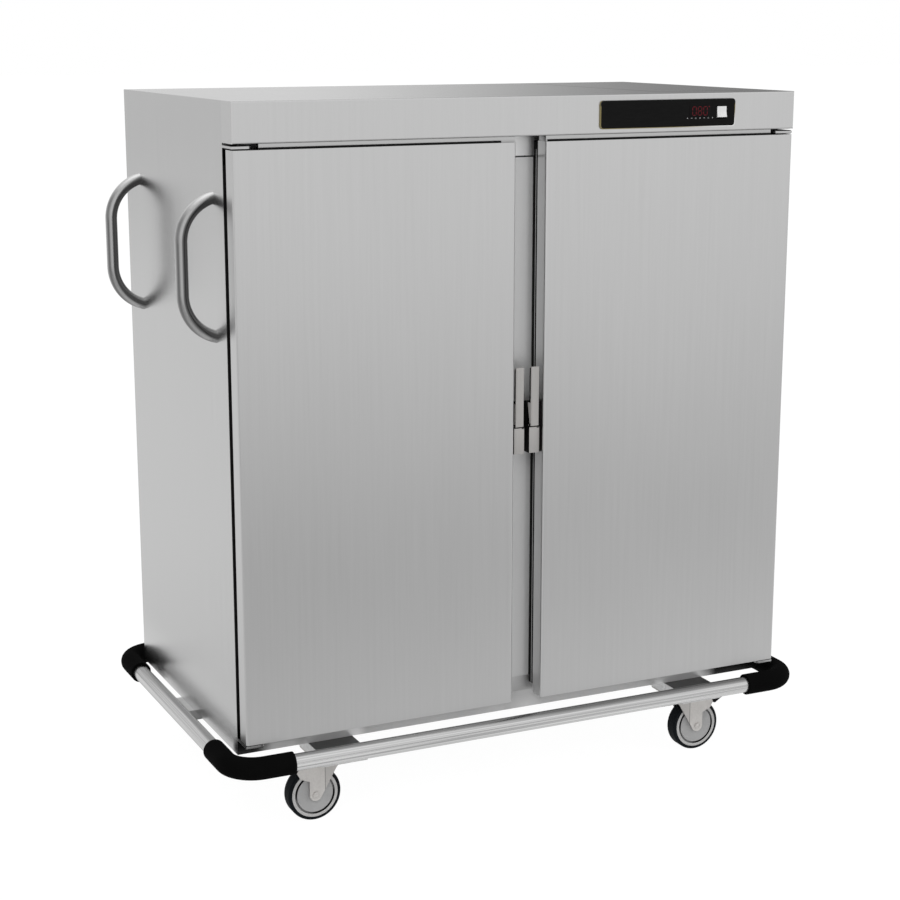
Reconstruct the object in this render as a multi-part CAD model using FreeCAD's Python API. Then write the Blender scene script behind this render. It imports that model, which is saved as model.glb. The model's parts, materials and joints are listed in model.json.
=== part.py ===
"""Heated banquet cart: insulated two-door cabinet on swivel casters inside a bumper ring.

Millimetres. X runs along the doors, with the push handles on the -X side, Y runs from the doors to
the back and Z runs up from the floor. The origin is on the floor, under the middle of the cabinet's
width and halfway between the front and the rear bumper tube.
"""
import FreeCAD, Part
import math
import os

from FreeCAD import Vector

os.makedirs("parts", exist_ok=True)

# Carcass
BODY_WIDTH = 1360.0
BODY_DEPTH = 712.0
BODY_HEIGHT = 1412.0
SHEET = 1.2
WALL = 40.0
FASCIA_HEIGHT = 85.0
COVER_EDGE_RADIUS = 3.0
TOP_RAIL = 46.0
BOTTOM_RAIL = 36.0
MULLION_WIDTH = 130.0
MULLION_DEPTH = 45.0
SEAM = 1.0

# Doors
DOOR_THICKNESS = 40.0
DOOR_RISE = 42.0
DOOR_TOP_GAP = 13.0
DOOR_CENTRE_GAP = 74.0
DOOR_EDGE_RADIUS = 6.0
GASKET_DEPTH = 22.0
GASKET_WIDTH = 12.0
GASKET_INSET = 19.0
GASKET_CENTRE_INSET = 2.0
GASKET_CLEARANCE = 0.3
GASKET_HINGE_GAP = 2.0

# Hinges
HINGE_PIN_RADIUS = 5.0
HINGE_PIN_REACH = 20.0
HINGE_INSET = 24.0
HINGE_PLATE_WIDTH = 44.0
HINGE_PLATE_THICKNESS = 5.0
HINGE_PLATE_GAP = 3.0
HINGE_PLATE_CORNER = 12.0
HINGE_FRONT_MARGIN = 3.0
HINGE_LEG_THICKNESS = 3.0
HINGE_LEG_WIDTH = 22.0
HINGE_LEG_HEIGHT = 36.0
HINGE_BOSS_RADIUS = 9.0
RUNNING_CLEARANCE = 0.05

# Latches
LATCH_RISE = 580.5
LATCH_BLOCK_HEIGHT = 59.0
LATCH_BODY_HEIGHT = 115.0
LATCH_BODY_SET_BACK = 16.0
LATCH_BODY_DEPTH = 24.0
LATCH_CENTRE_MARGIN = 6.5
LATCH_BLOCK_WIDTH = 25.0
LATCH_BLOCK_PROUD = 5.0
LATCH_EAR_HEIGHT = 4.0
LATCH_WINDOW_DEPTH = 16.0
LEVER_WIDTH = 18.5
LEVER_LENGTH = 133.0
LEVER_THICKNESS = 3.5
LEVER_SET_BACK = 8.0
LEVER_SIDE_CLEARANCE = 0.5
LEVER_REST_GAP = 0.8
LEVER_KNUCKLE_RADIUS = 3.5
LEVER_FOOT = 1.0
LEVER_PIN_RADIUS = 2.0
LEVER_PIN_INSET = 1.0
LEVER_RIB_HEIGHT = 50.0
LEVER_RIB_DEPTH = 14.0
LEVER_RIB_THICKNESS = 3.0
LEVER_CAM_REACH = 14.0
STRIKE_WIDTH = 22.0
STRIKE_HEIGHT = 62.0
STRIKE_RISE = 50.0
STRIKE_THICKNESS = 3.0
STRIKE_LIP = 17.0

# Control panel
PANEL_SIDE_INSET = 162.0
PANEL_WIDTH = 350.0
PANEL_HEIGHT = 62.0
PANEL_RISE = 10.0
PANEL_THICKNESS = 3.0
PANEL_CORNER = 8.0
CONTROL_BOX_MARGIN = 12.0
CONTROL_BOX_DEPTH = 58.0
SWITCH_OFFSET = 314.0
SWITCH_WIDTH = 24.0
SWITCH_HEIGHT = 24.0
SWITCH_SIDE_CLEARANCE = 0.3
SWITCH_END_CLEARANCE = 1.8
SWITCH_TILT = 8.0
SWITCH_PIVOT_DEPTH = 6.0
SWITCH_PIN_RADIUS = 1.5
SWITCH_PIN_LENGTH = 2.0
SWITCH_POCKET_DEPTH = 18.0

# Chamber, air heating and racks
DUCT_HEIGHT = 70.0
BAFFLE_SIDE_GAP = 80.0
BAFFLE_FRONT_GAP = 60.0
BAFFLE_BACK_GAP = 30.0
BAFFLE_INLET_RADIUS = 70.0
OUTLET_SLOT_LENGTH = 70.0
OUTLET_SLOT_WIDTH = 12.0
OUTLET_SLOT_COUNT = 6
WELL_SIZE = 320.0
MOTOR_FLANGE_RADIUS = 55.0
MOTOR_FLANGE_THICKNESS = 4.0
MOTOR_RADIUS = 40.0
MOTOR_HEIGHT = 75.0
MOTOR_SHAFT_RADIUS = 4.0
MOTOR_SHAFT_HOLE = 12.0
FAN_DROP = 11.0
FAN_RADIUS = 85.0
FAN_EYE_RADIUS = 58.0
FAN_HEIGHT = 38.0
FAN_DISC = 2.0
FAN_HUB_RADIUS = 12.0
FAN_BLADES = 12
ELEMENT_RING_RADIUS = 125.0
ELEMENT_RADIUS = 4.0
ELEMENT_DROP = 30.0
ELEMENT_GAP_ANGLE = 40.0
ELEMENT_TERMINAL = 25.0
ELEMENT_CLEARANCE = 0.2
RACK_CENTRE_X = 67.0
POST_DEPTH = 15.0
POST_WIDTH = 30.0
POST_INSET = 110.0
SLIDE_LEDGE = 22.0
SLIDE_LEG = 18.0
SLIDE_SHEET = 1.5
SLIDE_END_GAP = 15.0
SLIDE_HEADROOM = 60.0
SLIDE_PITCH = 85.0
SLIDE_FIRST = 70.0

# Back of the cabinet
INLET_SIDE_INSET = 200.0
INLET_FLANGE_WIDTH = 60.0
INLET_FLANGE_HEIGHT = 50.0
INLET_FLANGE_THICKNESS = 3.0
INLET_BODY_WIDTH = 44.0
INLET_BODY_HEIGHT = 34.0
INLET_BODY_DEPTH = 38.0
INLET_RECESS_WALL = 3.0
INLET_RECESS_DEPTH = 24.0
INLET_BLADE_WIDTH = 6.0
INLET_BLADE_THICKNESS = 2.0
INLET_BLADE_LENGTH = 18.0
INLET_BLADE_SPACING = 12.0
VENT_COUNT = 9
VENT_LENGTH = 46.0
VENT_WIDTH = 5.0
VENT_PITCH = 18.0
VENT_SIDE_INSET = 560.0

# Push handles
HANDLE_TUBE = 27.0
HANDLE_WALL = 2.0
HANDLE_SPAN = 293.0
HANDLE_RISE = 917.0
HANDLE_REACH = 70.5
HANDLE_BEND = 95.0
HANDLE_SLANT = 16.0
HANDLE_FRONT_INSET = 72.0
HANDLE_BACK_INSET = 104.0

# Bumper ring
BUMPER_FRONT_REACH = 27.0
BUMPER_REAR_REACH = 54.0
BUMPER_SIDE_REACH = 36.0
BUMPER_DROP = 2.0
BUMPER_TUBE = 38.0
BUMPER_WALL = 2.0
CORNER_TUBE = 50.0
CORNER_BEND = 65.0
CORNER_LEG_X = 132.0
CORNER_LEG_Y = 144.0
SOCKET_DEPTH = 40.0
SOCKET_CLEARANCE = 0.15

# Chassis
CHANNEL_INSET = 218.0
CHANNEL_WIDTH = 106.0
CHANNEL_HEIGHT = 25.0
CHANNEL_WALL = 2.5
ARM_WIDTH = 98.0
ARM_HEIGHT = 24.0
SADDLE_LIP = 10.0
SADDLE_CLEARANCE = 0.15
BOLT_HEAD_RADIUS = 6.5
BOLT_HEAD_HEIGHT = 5.0
TUBE_BOLT_INSET = 34.0

# Casters
CASTER_INSET = 13.0
WHEEL_DIAMETER = 125.0
TYRE_THICKNESS = 8.0
TYRE_WIDTH = 33.0
TYRE_ROUND = 4.0
TYRE_CLEARANCE = 0.1
HUB_WIDTH = 39.0
HUB_BOSS_RADIUS = 16.0
GROOVE_OUTER_RADIUS = 47.5
GROOVE_WIDTH = 4.5
GROOVE_DEPTH = 6.0
AXLE_RADIUS = 6.0
AXLE_HEAD_RADIUS = 7.5
AXLE_HEAD_HEIGHT = 2.5
TRAIL = 40.0
FORK_GAP = 40.0
FORK_SHEET = 3.5
FORK_HEADROOM = 12.0
FORK_DISC_RADIUS = 36.0
FORK_BOSS_RADIUS = 14.5
FORK_INNER_TOP = -28.0
FORK_SHOULDER = -10.0
FORK_SHOULDER_DROP = 20.0
EAR_ROOT_DROP = 45.0
EAR_CORNER = 76.0
EAR_CORNER_DROP = 36.0
EAR_TIP = 84.0
EAR_TIP_DROP = 22.0
EAR_TOP = 72.0
RACE_GAP = 0.3
RACE_HEIGHT = 14.2
RACE_RADIUS = 33.0
KING_PIN_RADIUS = 8.0
KING_PIN_HEAD_RADIUS = 13.0
KING_PIN_HEAD_HEIGHT = 4.0
CASTER_PLATE_LENGTH = 105.0
CASTER_PLATE_WIDTH = 85.0
CASTER_PLATE_THICKNESS = 4.0
CASTER_BOLT_MARGIN = 12.0
PEDAL_PIVOT = 64.0
PEDAL_PIVOT_DROP = 10.5
PEDAL_PIN_RADIUS = 4.0
PEDAL_BOSS_RADIUS = 6.0
PEDAL_WIDTH = 30.0
PEDAL_THICKNESS = 8.0
PEDAL_KNEE_REACH = 31.0
PEDAL_KNEE_DROP = 15.0
PEDAL_TREAD_REACH = 38.0
PEDAL_TREAD_RISE = 24.0

# Places that follow from the sizes
X_AXIS = Vector(1, 0, 0)
Y_AXIS = Vector(0, 1, 0)
Z_AXIS = Vector(0, 0, 1)
ORIGIN = Vector(0, 0, 0)

half_width = BODY_WIDTH / 2
ring_depth = BUMPER_FRONT_REACH + DOOR_THICKNESS + GASKET_DEPTH + BODY_DEPTH + BUMPER_REAR_REACH
front_tube_y = -ring_depth / 2
rear_tube_y = ring_depth / 2
side_tube_x = half_width + BUMPER_SIDE_REACH
channel_x = half_width - CHANNEL_INSET
door_front = front_tube_y + BUMPER_FRONT_REACH
door_back = door_front + DOOR_THICKNESS
body_front = door_back + GASKET_DEPTH
body_back = body_front + BODY_DEPTH
body_middle_y = (body_front + body_back) / 2

axle_z = WHEEL_DIAMETER / 2
fork_underside = WHEEL_DIAMETER + FORK_HEADROOM
fork_top = fork_underside + FORK_SHEET
race_bottom = fork_top + RACE_GAP
caster_plate_bottom = race_bottom + RACE_HEIGHT
channel_bottom = caster_plate_bottom + CASTER_PLATE_THICKNESS
base_z = channel_bottom + CHANNEL_HEIGHT
bumper_z = base_z - BUMPER_DROP

top_z = base_z + BODY_HEIGHT
fascia_bottom = top_z - FASCIA_HEIGHT
door_bottom = base_z + DOOR_RISE
door_top = fascia_bottom - DOOR_TOP_GAP
door_inner_x = DOOR_CENTRE_GAP / 2
hinge_x = half_width - HINGE_INSET
hinge_y = door_front + DOOR_THICKNESS / 2

chamber_x = half_width - WALL
chamber_bottom = door_bottom + BOTTOM_RAIL
chamber_top = fascia_bottom - TOP_RAIL
chamber_front = body_front + SHEET
chamber_back = body_back - WALL
fan_y = (chamber_front + chamber_back) / 2
baffle_z = chamber_top - DUCT_HEIGHT
panel_right = half_width - PANEL_SIDE_INSET
panel_left = panel_right - PANEL_WIDTH
panel_bottom = fascia_bottom + PANEL_RISE
panel_top = panel_bottom + PANEL_HEIGHT
control_z = (panel_bottom + panel_top) / 2
inlet_x = INLET_SIDE_INSET - half_width
inlet_z = (fascia_bottom + top_z) / 2
switch_x = panel_left + SWITCH_OFFSET

latch_bottom = door_bottom + LATCH_RISE
latch_top = latch_bottom + LATCH_BODY_HEIGHT
latch_block_top = latch_bottom + LATCH_BLOCK_HEIGHT
latch_body_front = door_front + LATCH_BODY_SET_BACK
latch_body_back = latch_body_front + LATCH_BODY_DEPTH
latch_block_front = latch_body_front - LATCH_BLOCK_PROUD
latch_centre_x = LATCH_CENTRE_MARGIN + LATCH_BLOCK_WIDTH / 2
lever_front = door_front + LEVER_SET_BACK
lever_back = lever_front + LEVER_THICKNESS
lever_pivot_y = lever_back + LEVER_KNUCKLE_RADIUS
lever_pivot_z = latch_block_top + LEVER_REST_GAP + LEVER_KNUCKLE_RADIUS
lever_top = lever_pivot_z + LEVER_LENGTH
lever_rib_top = lever_pivot_z + LEVER_RIB_HEIGHT


def box(x0, x1, y0, y1, z0, z1):
    """Block between two corners, whichever way round each pair is given."""
    low = Vector(min(x0, x1), min(y0, y1), min(z0, z1))
    return Part.makeBox(abs(x1 - x0), abs(y1 - y0), abs(z1 - z0), low)


def rod(start, axis, length, radius):
    """Round bar from a point along an axis."""
    return Part.makeCylinder(radius, length, start, axis)


def plate(points, depth):
    """Flat plate from a closed outline, thickened by the vector depth."""
    return Part.Face(Part.makePolygon(points + points[:1])).extrude(depth)


def join(first, *others):
    """One solid from pieces that touch or overlap."""
    return first.fuse(list(others)).removeSplitter()


def mirror_x(shape):
    """Copy on the other side of the cabinet's middle plane."""
    return shape.mirror(ORIGIN, X_AXIS)


def edges_along(shape, axis, keep):
    """Straight edges of a shape along an axis whose midpoint passes a test."""
    found = []
    for edge in shape.Edges:
        along = edge.Vertexes[-1].Point - edge.Vertexes[0].Point
        if along.Length > 0 and abs(along.normalize().dot(axis)) > 0.999 and keep(edge.CenterOfMass):
            found.append(edge)
    return found


def save(name, *shapes):
    """Write a node's solids to its own file."""
    shape = shapes[0] if len(shapes) == 1 else Part.makeCompound(list(shapes))
    shape.exportStep("parts/" + name + ".step")


def hollow_section(outer, axis, wall):
    """Rectangular tube: an outer block emptied along one axis."""
    b = outer.BoundBox
    inset = Vector(*[0 if abs(c) > 0.5 else wall for c in axis])
    low = Vector(b.XMin, b.YMin, b.ZMin) + inset
    high = Vector(b.XMax, b.YMax, b.ZMax) - inset
    return outer.cut(box(low.x, high.x, low.y, high.y, low.z, high.z))


# Carcass panels


def side_panel():
    """Left side sheet, with the nose that closes the end of the fascia."""
    outline = [
        Vector(-half_width, body_front, base_z),
        Vector(-half_width, body_back, base_z),
        Vector(-half_width, body_back, top_z),
        Vector(-half_width, door_front, top_z),
        Vector(-half_width, door_front, fascia_bottom),
        Vector(-half_width, body_front, fascia_bottom),
    ]
    return plate(outline, Vector(SHEET, 0, 0))


def back_panel():
    """Back sheet with the inlet's cut-out and a row of vents over the insulation."""
    inner = half_width - SHEET
    sheet = box(-inner, inner, body_back - SHEET, body_back, base_z, top_z - SHEET)
    cuts = [
        box(
            inlet_x - INLET_BODY_WIDTH / 2,
            inlet_x + INLET_BODY_WIDTH / 2,
            body_back - 2 * SHEET,
            body_back + SHEET,
            inlet_z - INLET_BODY_HEIGHT / 2,
            inlet_z + INLET_BODY_HEIGHT / 2,
        )
    ]
    for i in range(VENT_COUNT):
        x = half_width - VENT_SIDE_INSET + i * VENT_PITCH
        z = inlet_z - VENT_LENGTH / 2
        cuts.append(box(x, x + VENT_WIDTH, body_back - 2 * SHEET, body_back + SHEET, z, z + VENT_LENGTH))
    return sheet.cut(cuts)


def top_cover():
    """Top sheet folded down into the fascia, and back under it."""
    inner = half_width - SHEET
    outer = box(-inner, inner, door_front, body_back, fascia_bottom, top_z)
    front_edges = edges_along(outer, X_AXIS, lambda p: p.y < door_front + SHEET)
    outer = outer.makeFillet(COVER_EDGE_RADIUS, front_edges)
    hollow = box(
        -half_width, half_width, door_front + SHEET, body_back + SHEET, fascia_bottom + SHEET, top_z - SHEET
    )
    front_edges = edges_along(hollow, X_AXIS, lambda p: p.y < door_front + 2 * SHEET)
    hollow = hollow.makeFillet(COVER_EDGE_RADIUS - SHEET, front_edges)
    under = box(-half_width, half_width, body_front, body_back + SHEET, fascia_bottom - SHEET, control_z)
    window = box(
        panel_left + CONTROL_BOX_MARGIN,
        panel_right - CONTROL_BOX_MARGIN,
        door_front - SHEET,
        door_front + 2 * SHEET,
        panel_bottom + CONTROL_BOX_MARGIN / 2,
        panel_top - CONTROL_BOX_MARGIN / 2,
    )
    return outer.cut([hollow, under, window])


def base_pan():
    """Shallow tray whose front wall is the skirt under the doors."""
    x = half_width - SHEET
    outer = box(-x, x, body_front, body_back - SHEET, base_z, door_bottom)
    hollow = box(
        SHEET - x, x - SHEET, body_front + SHEET, body_back - 2 * SHEET, base_z + SHEET, door_bottom + SHEET
    )
    return outer.cut(hollow)


def front_frame():
    """Flat rails and stiles round the chamber's mouth, which the door gaskets close on."""
    x = half_width - SHEET
    bottom_rail = box(-x, x, body_front, chamber_front, door_bottom, chamber_bottom)
    top_rail = box(-x, x, body_front, chamber_front, chamber_top, fascia_bottom)
    stile = box(-x, -chamber_x, body_front, chamber_front, chamber_bottom, chamber_top)
    return [bottom_rail, top_rail, stile, mirror_x(stile)]


def centre_mullion():
    """Hollow post in the middle of the mouth, with a thin seam under the top rail."""
    half = MULLION_WIDTH / 2
    post = box(-half, half, body_front, body_front + MULLION_DEPTH, chamber_bottom, chamber_top - SEAM)
    return hollow_section(post, Z_AXIS, SHEET)


def chamber_liner():
    """Inner box of welded sheets, open at the front, with holes for the fan shaft and the element."""
    outer_x = chamber_x + SHEET
    outer_back = chamber_back + SHEET
    floor = box(-outer_x, outer_x, chamber_front, outer_back, chamber_bottom - SHEET, chamber_bottom)
    ceiling = box(-outer_x, outer_x, chamber_front, outer_back, chamber_top, chamber_top + SHEET)
    back = box(-chamber_x, chamber_x, chamber_back, outer_back, chamber_bottom, chamber_top)
    wall = box(-outer_x, -chamber_x, chamber_front, outer_back, chamber_bottom, chamber_top)
    holes = [rod(Vector(0, fan_y, chamber_top - SHEET), Z_AXIS, 3 * SHEET, MOTOR_SHAFT_HOLE)]
    for x, y in element_ends():
        start = Vector(x, y, chamber_top - SHEET)
        holes.append(rod(start, Z_AXIS, 3 * SHEET, ELEMENT_RADIUS + ELEMENT_CLEARANCE))
    return [floor, ceiling.cut(holes), back, wall, mirror_x(wall)]


def insulation():
    """Foam between liner and panels, with a well for the motor in its top."""
    x = half_width - 2 * SHEET
    foam = box(-x, x, chamber_front, body_back - 2 * SHEET, base_z + SHEET, fascia_bottom)
    lined = box(
        -chamber_x - SHEET,
        chamber_x + SHEET,
        chamber_front - SHEET,
        chamber_back + SHEET,
        chamber_bottom - SHEET,
        chamber_top + SHEET,
    )
    half = WELL_SIZE / 2
    well = box(-half, half, fan_y - half, fan_y + half, chamber_top, fascia_bottom + SHEET)
    return foam.cut([lined, well])


# Air heating and racks


def element_ends():
    """Plan places of the heating element's two terminals."""
    places = []
    for side in (-1, 1):
        angle = math.radians(90 + side * ELEMENT_GAP_ANGLE / 2)
        x = ELEMENT_RING_RADIUS * math.cos(angle)
        places.append((x, fan_y + ELEMENT_RING_RADIUS * math.sin(angle)))
    return places


def air_baffle():
    """False ceiling under the fan: an eye in the middle, slots at its ends, flanges up to the ceiling."""
    x = chamber_x - BAFFLE_SIDE_GAP
    front = body_front + BAFFLE_FRONT_GAP
    back = chamber_back - BAFFLE_BACK_GAP
    outer = box(-x, x, front, back, baffle_z, chamber_top)
    hollow = box(-x - SHEET, x + SHEET, front + SHEET, back - SHEET, baffle_z + SHEET, chamber_top + SHEET)
    cuts = [hollow, rod(Vector(0, fan_y, baffle_z - SHEET), Z_AXIS, 3 * SHEET, BAFFLE_INLET_RADIUS)]
    pitch = (back - front) / OUTLET_SLOT_COUNT
    for side in (-1, 1):
        middle = side * (x - OUTLET_SLOT_LENGTH)
        for i in range(OUTLET_SLOT_COUNT):
            y = front + (i + 0.5) * pitch
            cuts.append(
                box(
                    middle - OUTLET_SLOT_LENGTH / 2,
                    middle + OUTLET_SLOT_LENGTH / 2,
                    y - OUTLET_SLOT_WIDTH / 2,
                    y + OUTLET_SLOT_WIDTH / 2,
                    baffle_z - SHEET,
                    baffle_z + 2 * SHEET,
                )
            )
    return outer.cut(cuts)


def fan_motor():
    """Motor standing on the liner's ceiling, with its shaft down through it."""
    seat = chamber_top + SHEET
    flange = rod(Vector(0, fan_y, seat), Z_AXIS, MOTOR_FLANGE_THICKNESS, MOTOR_FLANGE_RADIUS)
    body_z = seat + MOTOR_FLANGE_THICKNESS
    body = rod(Vector(0, fan_y, body_z), Z_AXIS, MOTOR_HEIGHT, MOTOR_RADIUS)
    shaft_end = chamber_top - FAN_DROP - FAN_HEIGHT
    shaft = rod(Vector(0, fan_y, shaft_end), Z_AXIS, body_z - shaft_end, MOTOR_SHAFT_RADIUS)
    return join(flange, body, shaft)


def fan_impeller():
    """Centrifugal wheel: back disc, hub, straight blades and an eye ring."""
    top = chamber_top - FAN_DROP
    bottom = top - FAN_HEIGHT
    disc = rod(Vector(0, fan_y, top - FAN_DISC), Z_AXIS, FAN_DISC, FAN_RADIUS)
    hub = rod(Vector(0, fan_y, bottom), Z_AXIS, FAN_HEIGHT, FAN_HUB_RADIUS)
    ring = rod(Vector(0, fan_y, bottom), Z_AXIS, FAN_DISC, FAN_RADIUS)
    ring = ring.cut(rod(Vector(0, fan_y, bottom - FAN_DISC), Z_AXIS, 3 * FAN_DISC, FAN_EYE_RADIUS))
    blades = []
    for i in range(FAN_BLADES):
        blade = box(FAN_EYE_RADIUS - FAN_DISC, FAN_RADIUS - FAN_DISC, 0, FAN_DISC, bottom, top)
        blade.translate(Vector(0, fan_y, 0))
        blade.rotate(Vector(0, fan_y, 0), Z_AXIS, 360.0 * i / FAN_BLADES)
        blades.append(blade)
    wheel = join(disc, hub, ring, *blades)
    bore = rod(
        Vector(0, fan_y, bottom - FAN_DISC),
        Z_AXIS,
        FAN_HEIGHT + 2 * FAN_DISC,
        MOTOR_SHAFT_RADIUS + RUNNING_CLEARANCE,
    )
    return wheel.cut(bore)


def heating_element():
    """Sheathed ring round the fan, with two terminals up through the ceiling."""
    z = chamber_top - ELEMENT_DROP
    sweep = 360.0 - ELEMENT_GAP_ANGLE
    ring = Part.makeTorus(ELEMENT_RING_RADIUS, ELEMENT_RADIUS, ORIGIN, Z_AXIS, -180, 180, sweep)
    ring.rotate(ORIGIN, Z_AXIS, 90 + ELEMENT_GAP_ANGLE / 2)
    ring.translate(Vector(0, fan_y, z))
    legs = []
    for x, y in element_ends():
        start = Vector(x, y, z)
        legs.append(rod(start, Z_AXIS, ELEMENT_DROP + ELEMENT_TERMINAL, ELEMENT_RADIUS))
        legs.append(Part.makeSphere(ELEMENT_RADIUS, start))
    return join(ring, *legs)


def rack_sides():
    """Outer and inner plan limits of the posts that hold one column of trays."""
    return chamber_x - POST_DEPTH, RACK_CENTRE_X + POST_DEPTH


def rack_posts():
    """Eight upright tubes from the chamber's floor to the baffle."""
    outer, inner = rack_sides()
    posts = []
    for y in (body_front + POST_INSET, chamber_back - POST_INSET - POST_WIDTH):
        for x in (outer, inner - POST_DEPTH):
            post = box(x, x + POST_DEPTH, y, y + POST_WIDTH, chamber_bottom, baffle_z)
            post = hollow_section(post, Z_AXIS, SLIDE_SHEET)
            posts.append(post)
            posts.append(mirror_x(post))
    return posts


def tray_slides():
    """Angle ledges in pairs, one pair for each tray, with the upright leg under the ledge."""
    outer, inner = rack_sides()
    y0 = chamber_front + SLIDE_END_GAP
    y1 = chamber_back - SLIDE_END_GAP
    run = baffle_z - SLIDE_HEADROOM - chamber_bottom - SLIDE_FIRST
    slides = []
    for i in range(int(run / SLIDE_PITCH) + 1):
        z = chamber_bottom + SLIDE_FIRST + i * SLIDE_PITCH
        for face, inward in ((outer, -1), (inner, 1)):
            leg = box(face, face + inward * SLIDE_SHEET, y0, y1, z - SLIDE_LEG, z)
            ledge = box(face, face + inward * SLIDE_LEDGE, y0, y1, z - SLIDE_SHEET, z)
            slide = join(leg, ledge)
            slides.append(slide)
            slides.append(mirror_x(slide))
    return slides


# Controls and inlet


def control_panel():
    """Thin fascia plate with rounded corners and the switch's opening."""
    sheet = box(
        panel_left, panel_right, door_front - PANEL_THICKNESS, door_front, panel_bottom, panel_top
    )
    sheet = sheet.makeFillet(PANEL_CORNER, edges_along(sheet, Y_AXIS, lambda p: True))
    return sheet.cut(switch_opening(SWITCH_SIDE_CLEARANCE))


def switch_opening(side_clearance):
    """Space that the rocker moves in, through the panel and into the box behind it."""
    x = SWITCH_WIDTH / 2 + side_clearance
    z = SWITCH_HEIGHT / 2 + SWITCH_END_CLEARANCE
    return box(
        switch_x - x,
        switch_x + x,
        door_front - 2 * PANEL_THICKNESS,
        door_front + SWITCH_POCKET_DEPTH,
        control_z - z,
        control_z + z,
    )


def switch_pin(radius, overrun):
    """Short axle of the rocker, as long as the rocker and its two stubs."""
    length = SWITCH_WIDTH + 2 * SWITCH_PIN_LENGTH + 2 * overrun
    start = Vector(switch_x - length / 2, door_front + SWITCH_PIVOT_DEPTH, control_z)
    return rod(start, X_AXIS, length, radius)


def control_box():
    """Electronics housing behind the control panel, with a pocket for the rocker."""
    block = box(
        panel_left + CONTROL_BOX_MARGIN,
        panel_right - CONTROL_BOX_MARGIN,
        door_front,
        door_front + CONTROL_BOX_DEPTH,
        panel_bottom + CONTROL_BOX_MARGIN / 2,
        panel_top - CONTROL_BOX_MARGIN / 2,
    )
    pin_hole = switch_pin(SWITCH_PIN_RADIUS + RUNNING_CLEARANCE, SWITCH_SIDE_CLEARANCE)
    return block.cut([switch_opening(SWITCH_SIDE_CLEARANCE), pin_hole])


def rocker_switch():
    """Rocker with a shallow trough across its face, resting with its upper end pressed in."""
    half = SWITCH_HEIGHT / 2
    y = door_front + SWITCH_PIVOT_DEPTH
    proud = SWITCH_PIVOT_DEPTH + 2 * PANEL_THICKNESS
    trough = proud - PANEL_THICKNESS / 2
    x = switch_x - SWITCH_WIDTH / 2
    outline = [
        Vector(x, y + SWITCH_PIVOT_DEPTH / 2, control_z - half / 2),
        Vector(x, y - SWITCH_PIVOT_DEPTH / 2, control_z - half),
        Vector(x, y - proud, control_z - half),
        Vector(x, y - trough, control_z),
        Vector(x, y - proud, control_z + half),
        Vector(x, y - SWITCH_PIVOT_DEPTH / 2, control_z + half),
        Vector(x, y + SWITCH_PIVOT_DEPTH / 2, control_z + half / 2),
    ]
    rocker = join(plate(outline, Vector(SWITCH_WIDTH, 0, 0)), switch_pin(SWITCH_PIN_RADIUS, 0))
    rocker.rotate(Vector(switch_x, y, control_z), X_AXIS, -SWITCH_TILT)
    return rocker


def power_inlet():
    """Flanged appliance inlet with three blades in its recess."""
    flange = box(
        inlet_x - INLET_FLANGE_WIDTH / 2,
        inlet_x + INLET_FLANGE_WIDTH / 2,
        body_back,
        body_back + INLET_FLANGE_THICKNESS,
        inlet_z - INLET_FLANGE_HEIGHT / 2,
        inlet_z + INLET_FLANGE_HEIGHT / 2,
    )
    flange = flange.makeFillet(PANEL_CORNER, edges_along(flange, Y_AXIS, lambda p: True))
    mouth = body_back + INLET_FLANGE_THICKNESS
    body = box(
        inlet_x - INLET_BODY_WIDTH / 2,
        inlet_x + INLET_BODY_WIDTH / 2,
        body_back - INLET_BODY_DEPTH,
        body_back,
        inlet_z - INLET_BODY_HEIGHT / 2,
        inlet_z + INLET_BODY_HEIGHT / 2,
    )
    recess_x = INLET_BODY_WIDTH / 2 - INLET_RECESS_WALL
    recess_z = INLET_BODY_HEIGHT / 2 - INLET_RECESS_WALL
    floor_y = mouth - INLET_RECESS_DEPTH
    recess = box(
        inlet_x - recess_x, inlet_x + recess_x, floor_y, mouth, inlet_z - recess_z, inlet_z + recess_z
    )
    blades = []
    for i, drop in ((-1, 0), (0, 1), (1, 0)):
        x = inlet_x + i * INLET_BLADE_SPACING
        z = inlet_z + INLET_BLADE_WIDTH / 2 - drop * INLET_BLADE_WIDTH
        blades.append(
            box(
                x - INLET_BLADE_THICKNESS / 2,
                x + INLET_BLADE_THICKNESS / 2,
                floor_y - INLET_BLADE_THICKNESS,
                floor_y + INLET_BLADE_LENGTH,
                z - INLET_BLADE_WIDTH / 2,
                z + INLET_BLADE_WIDTH / 2,
            )
        )
    return join(flange.fuse(body).cut(recess), *blades)


# Left door and its hinges; the right-hand set is their mirror copy


def door_block(inset):
    """The left door's volume drawn in by one sheet thickness or none, with its bent front edges."""
    block = box(
        -half_width + inset,
        -door_inner_x - inset,
        door_front + inset,
        door_back,
        door_bottom + inset,
        door_top - inset,
    )
    front = edges_along(block, Z_AXIS, lambda p: p.y < hinge_y)
    return block.makeFillet(DOOR_EDGE_RADIUS - inset, front)


def hinge_axis_rod(z0, z1, radius):
    """Round bar on the left door's hinge axis between two heights."""
    return rod(Vector(-hinge_x, hinge_y, z0), Z_AXIS, z1 - z0, radius)


def door_bosses(radius):
    """Top and bottom hinge bushes inside the left door, or the space they take."""
    depth = HINGE_PIN_REACH + SHEET
    return [
        hinge_axis_rod(door_bottom, door_bottom + depth, radius),
        hinge_axis_rod(door_top - depth, door_top, radius),
    ]


def door_skin():
    """Folded outer tray of the left door, with the welded hinge bushes."""
    tray = join(door_block(0).cut(door_block(SHEET)), *door_bosses(HINGE_BOSS_RADIUS))
    return tray.cut(door_bosses(HINGE_PIN_RADIUS + RUNNING_CLEARANCE))


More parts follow.
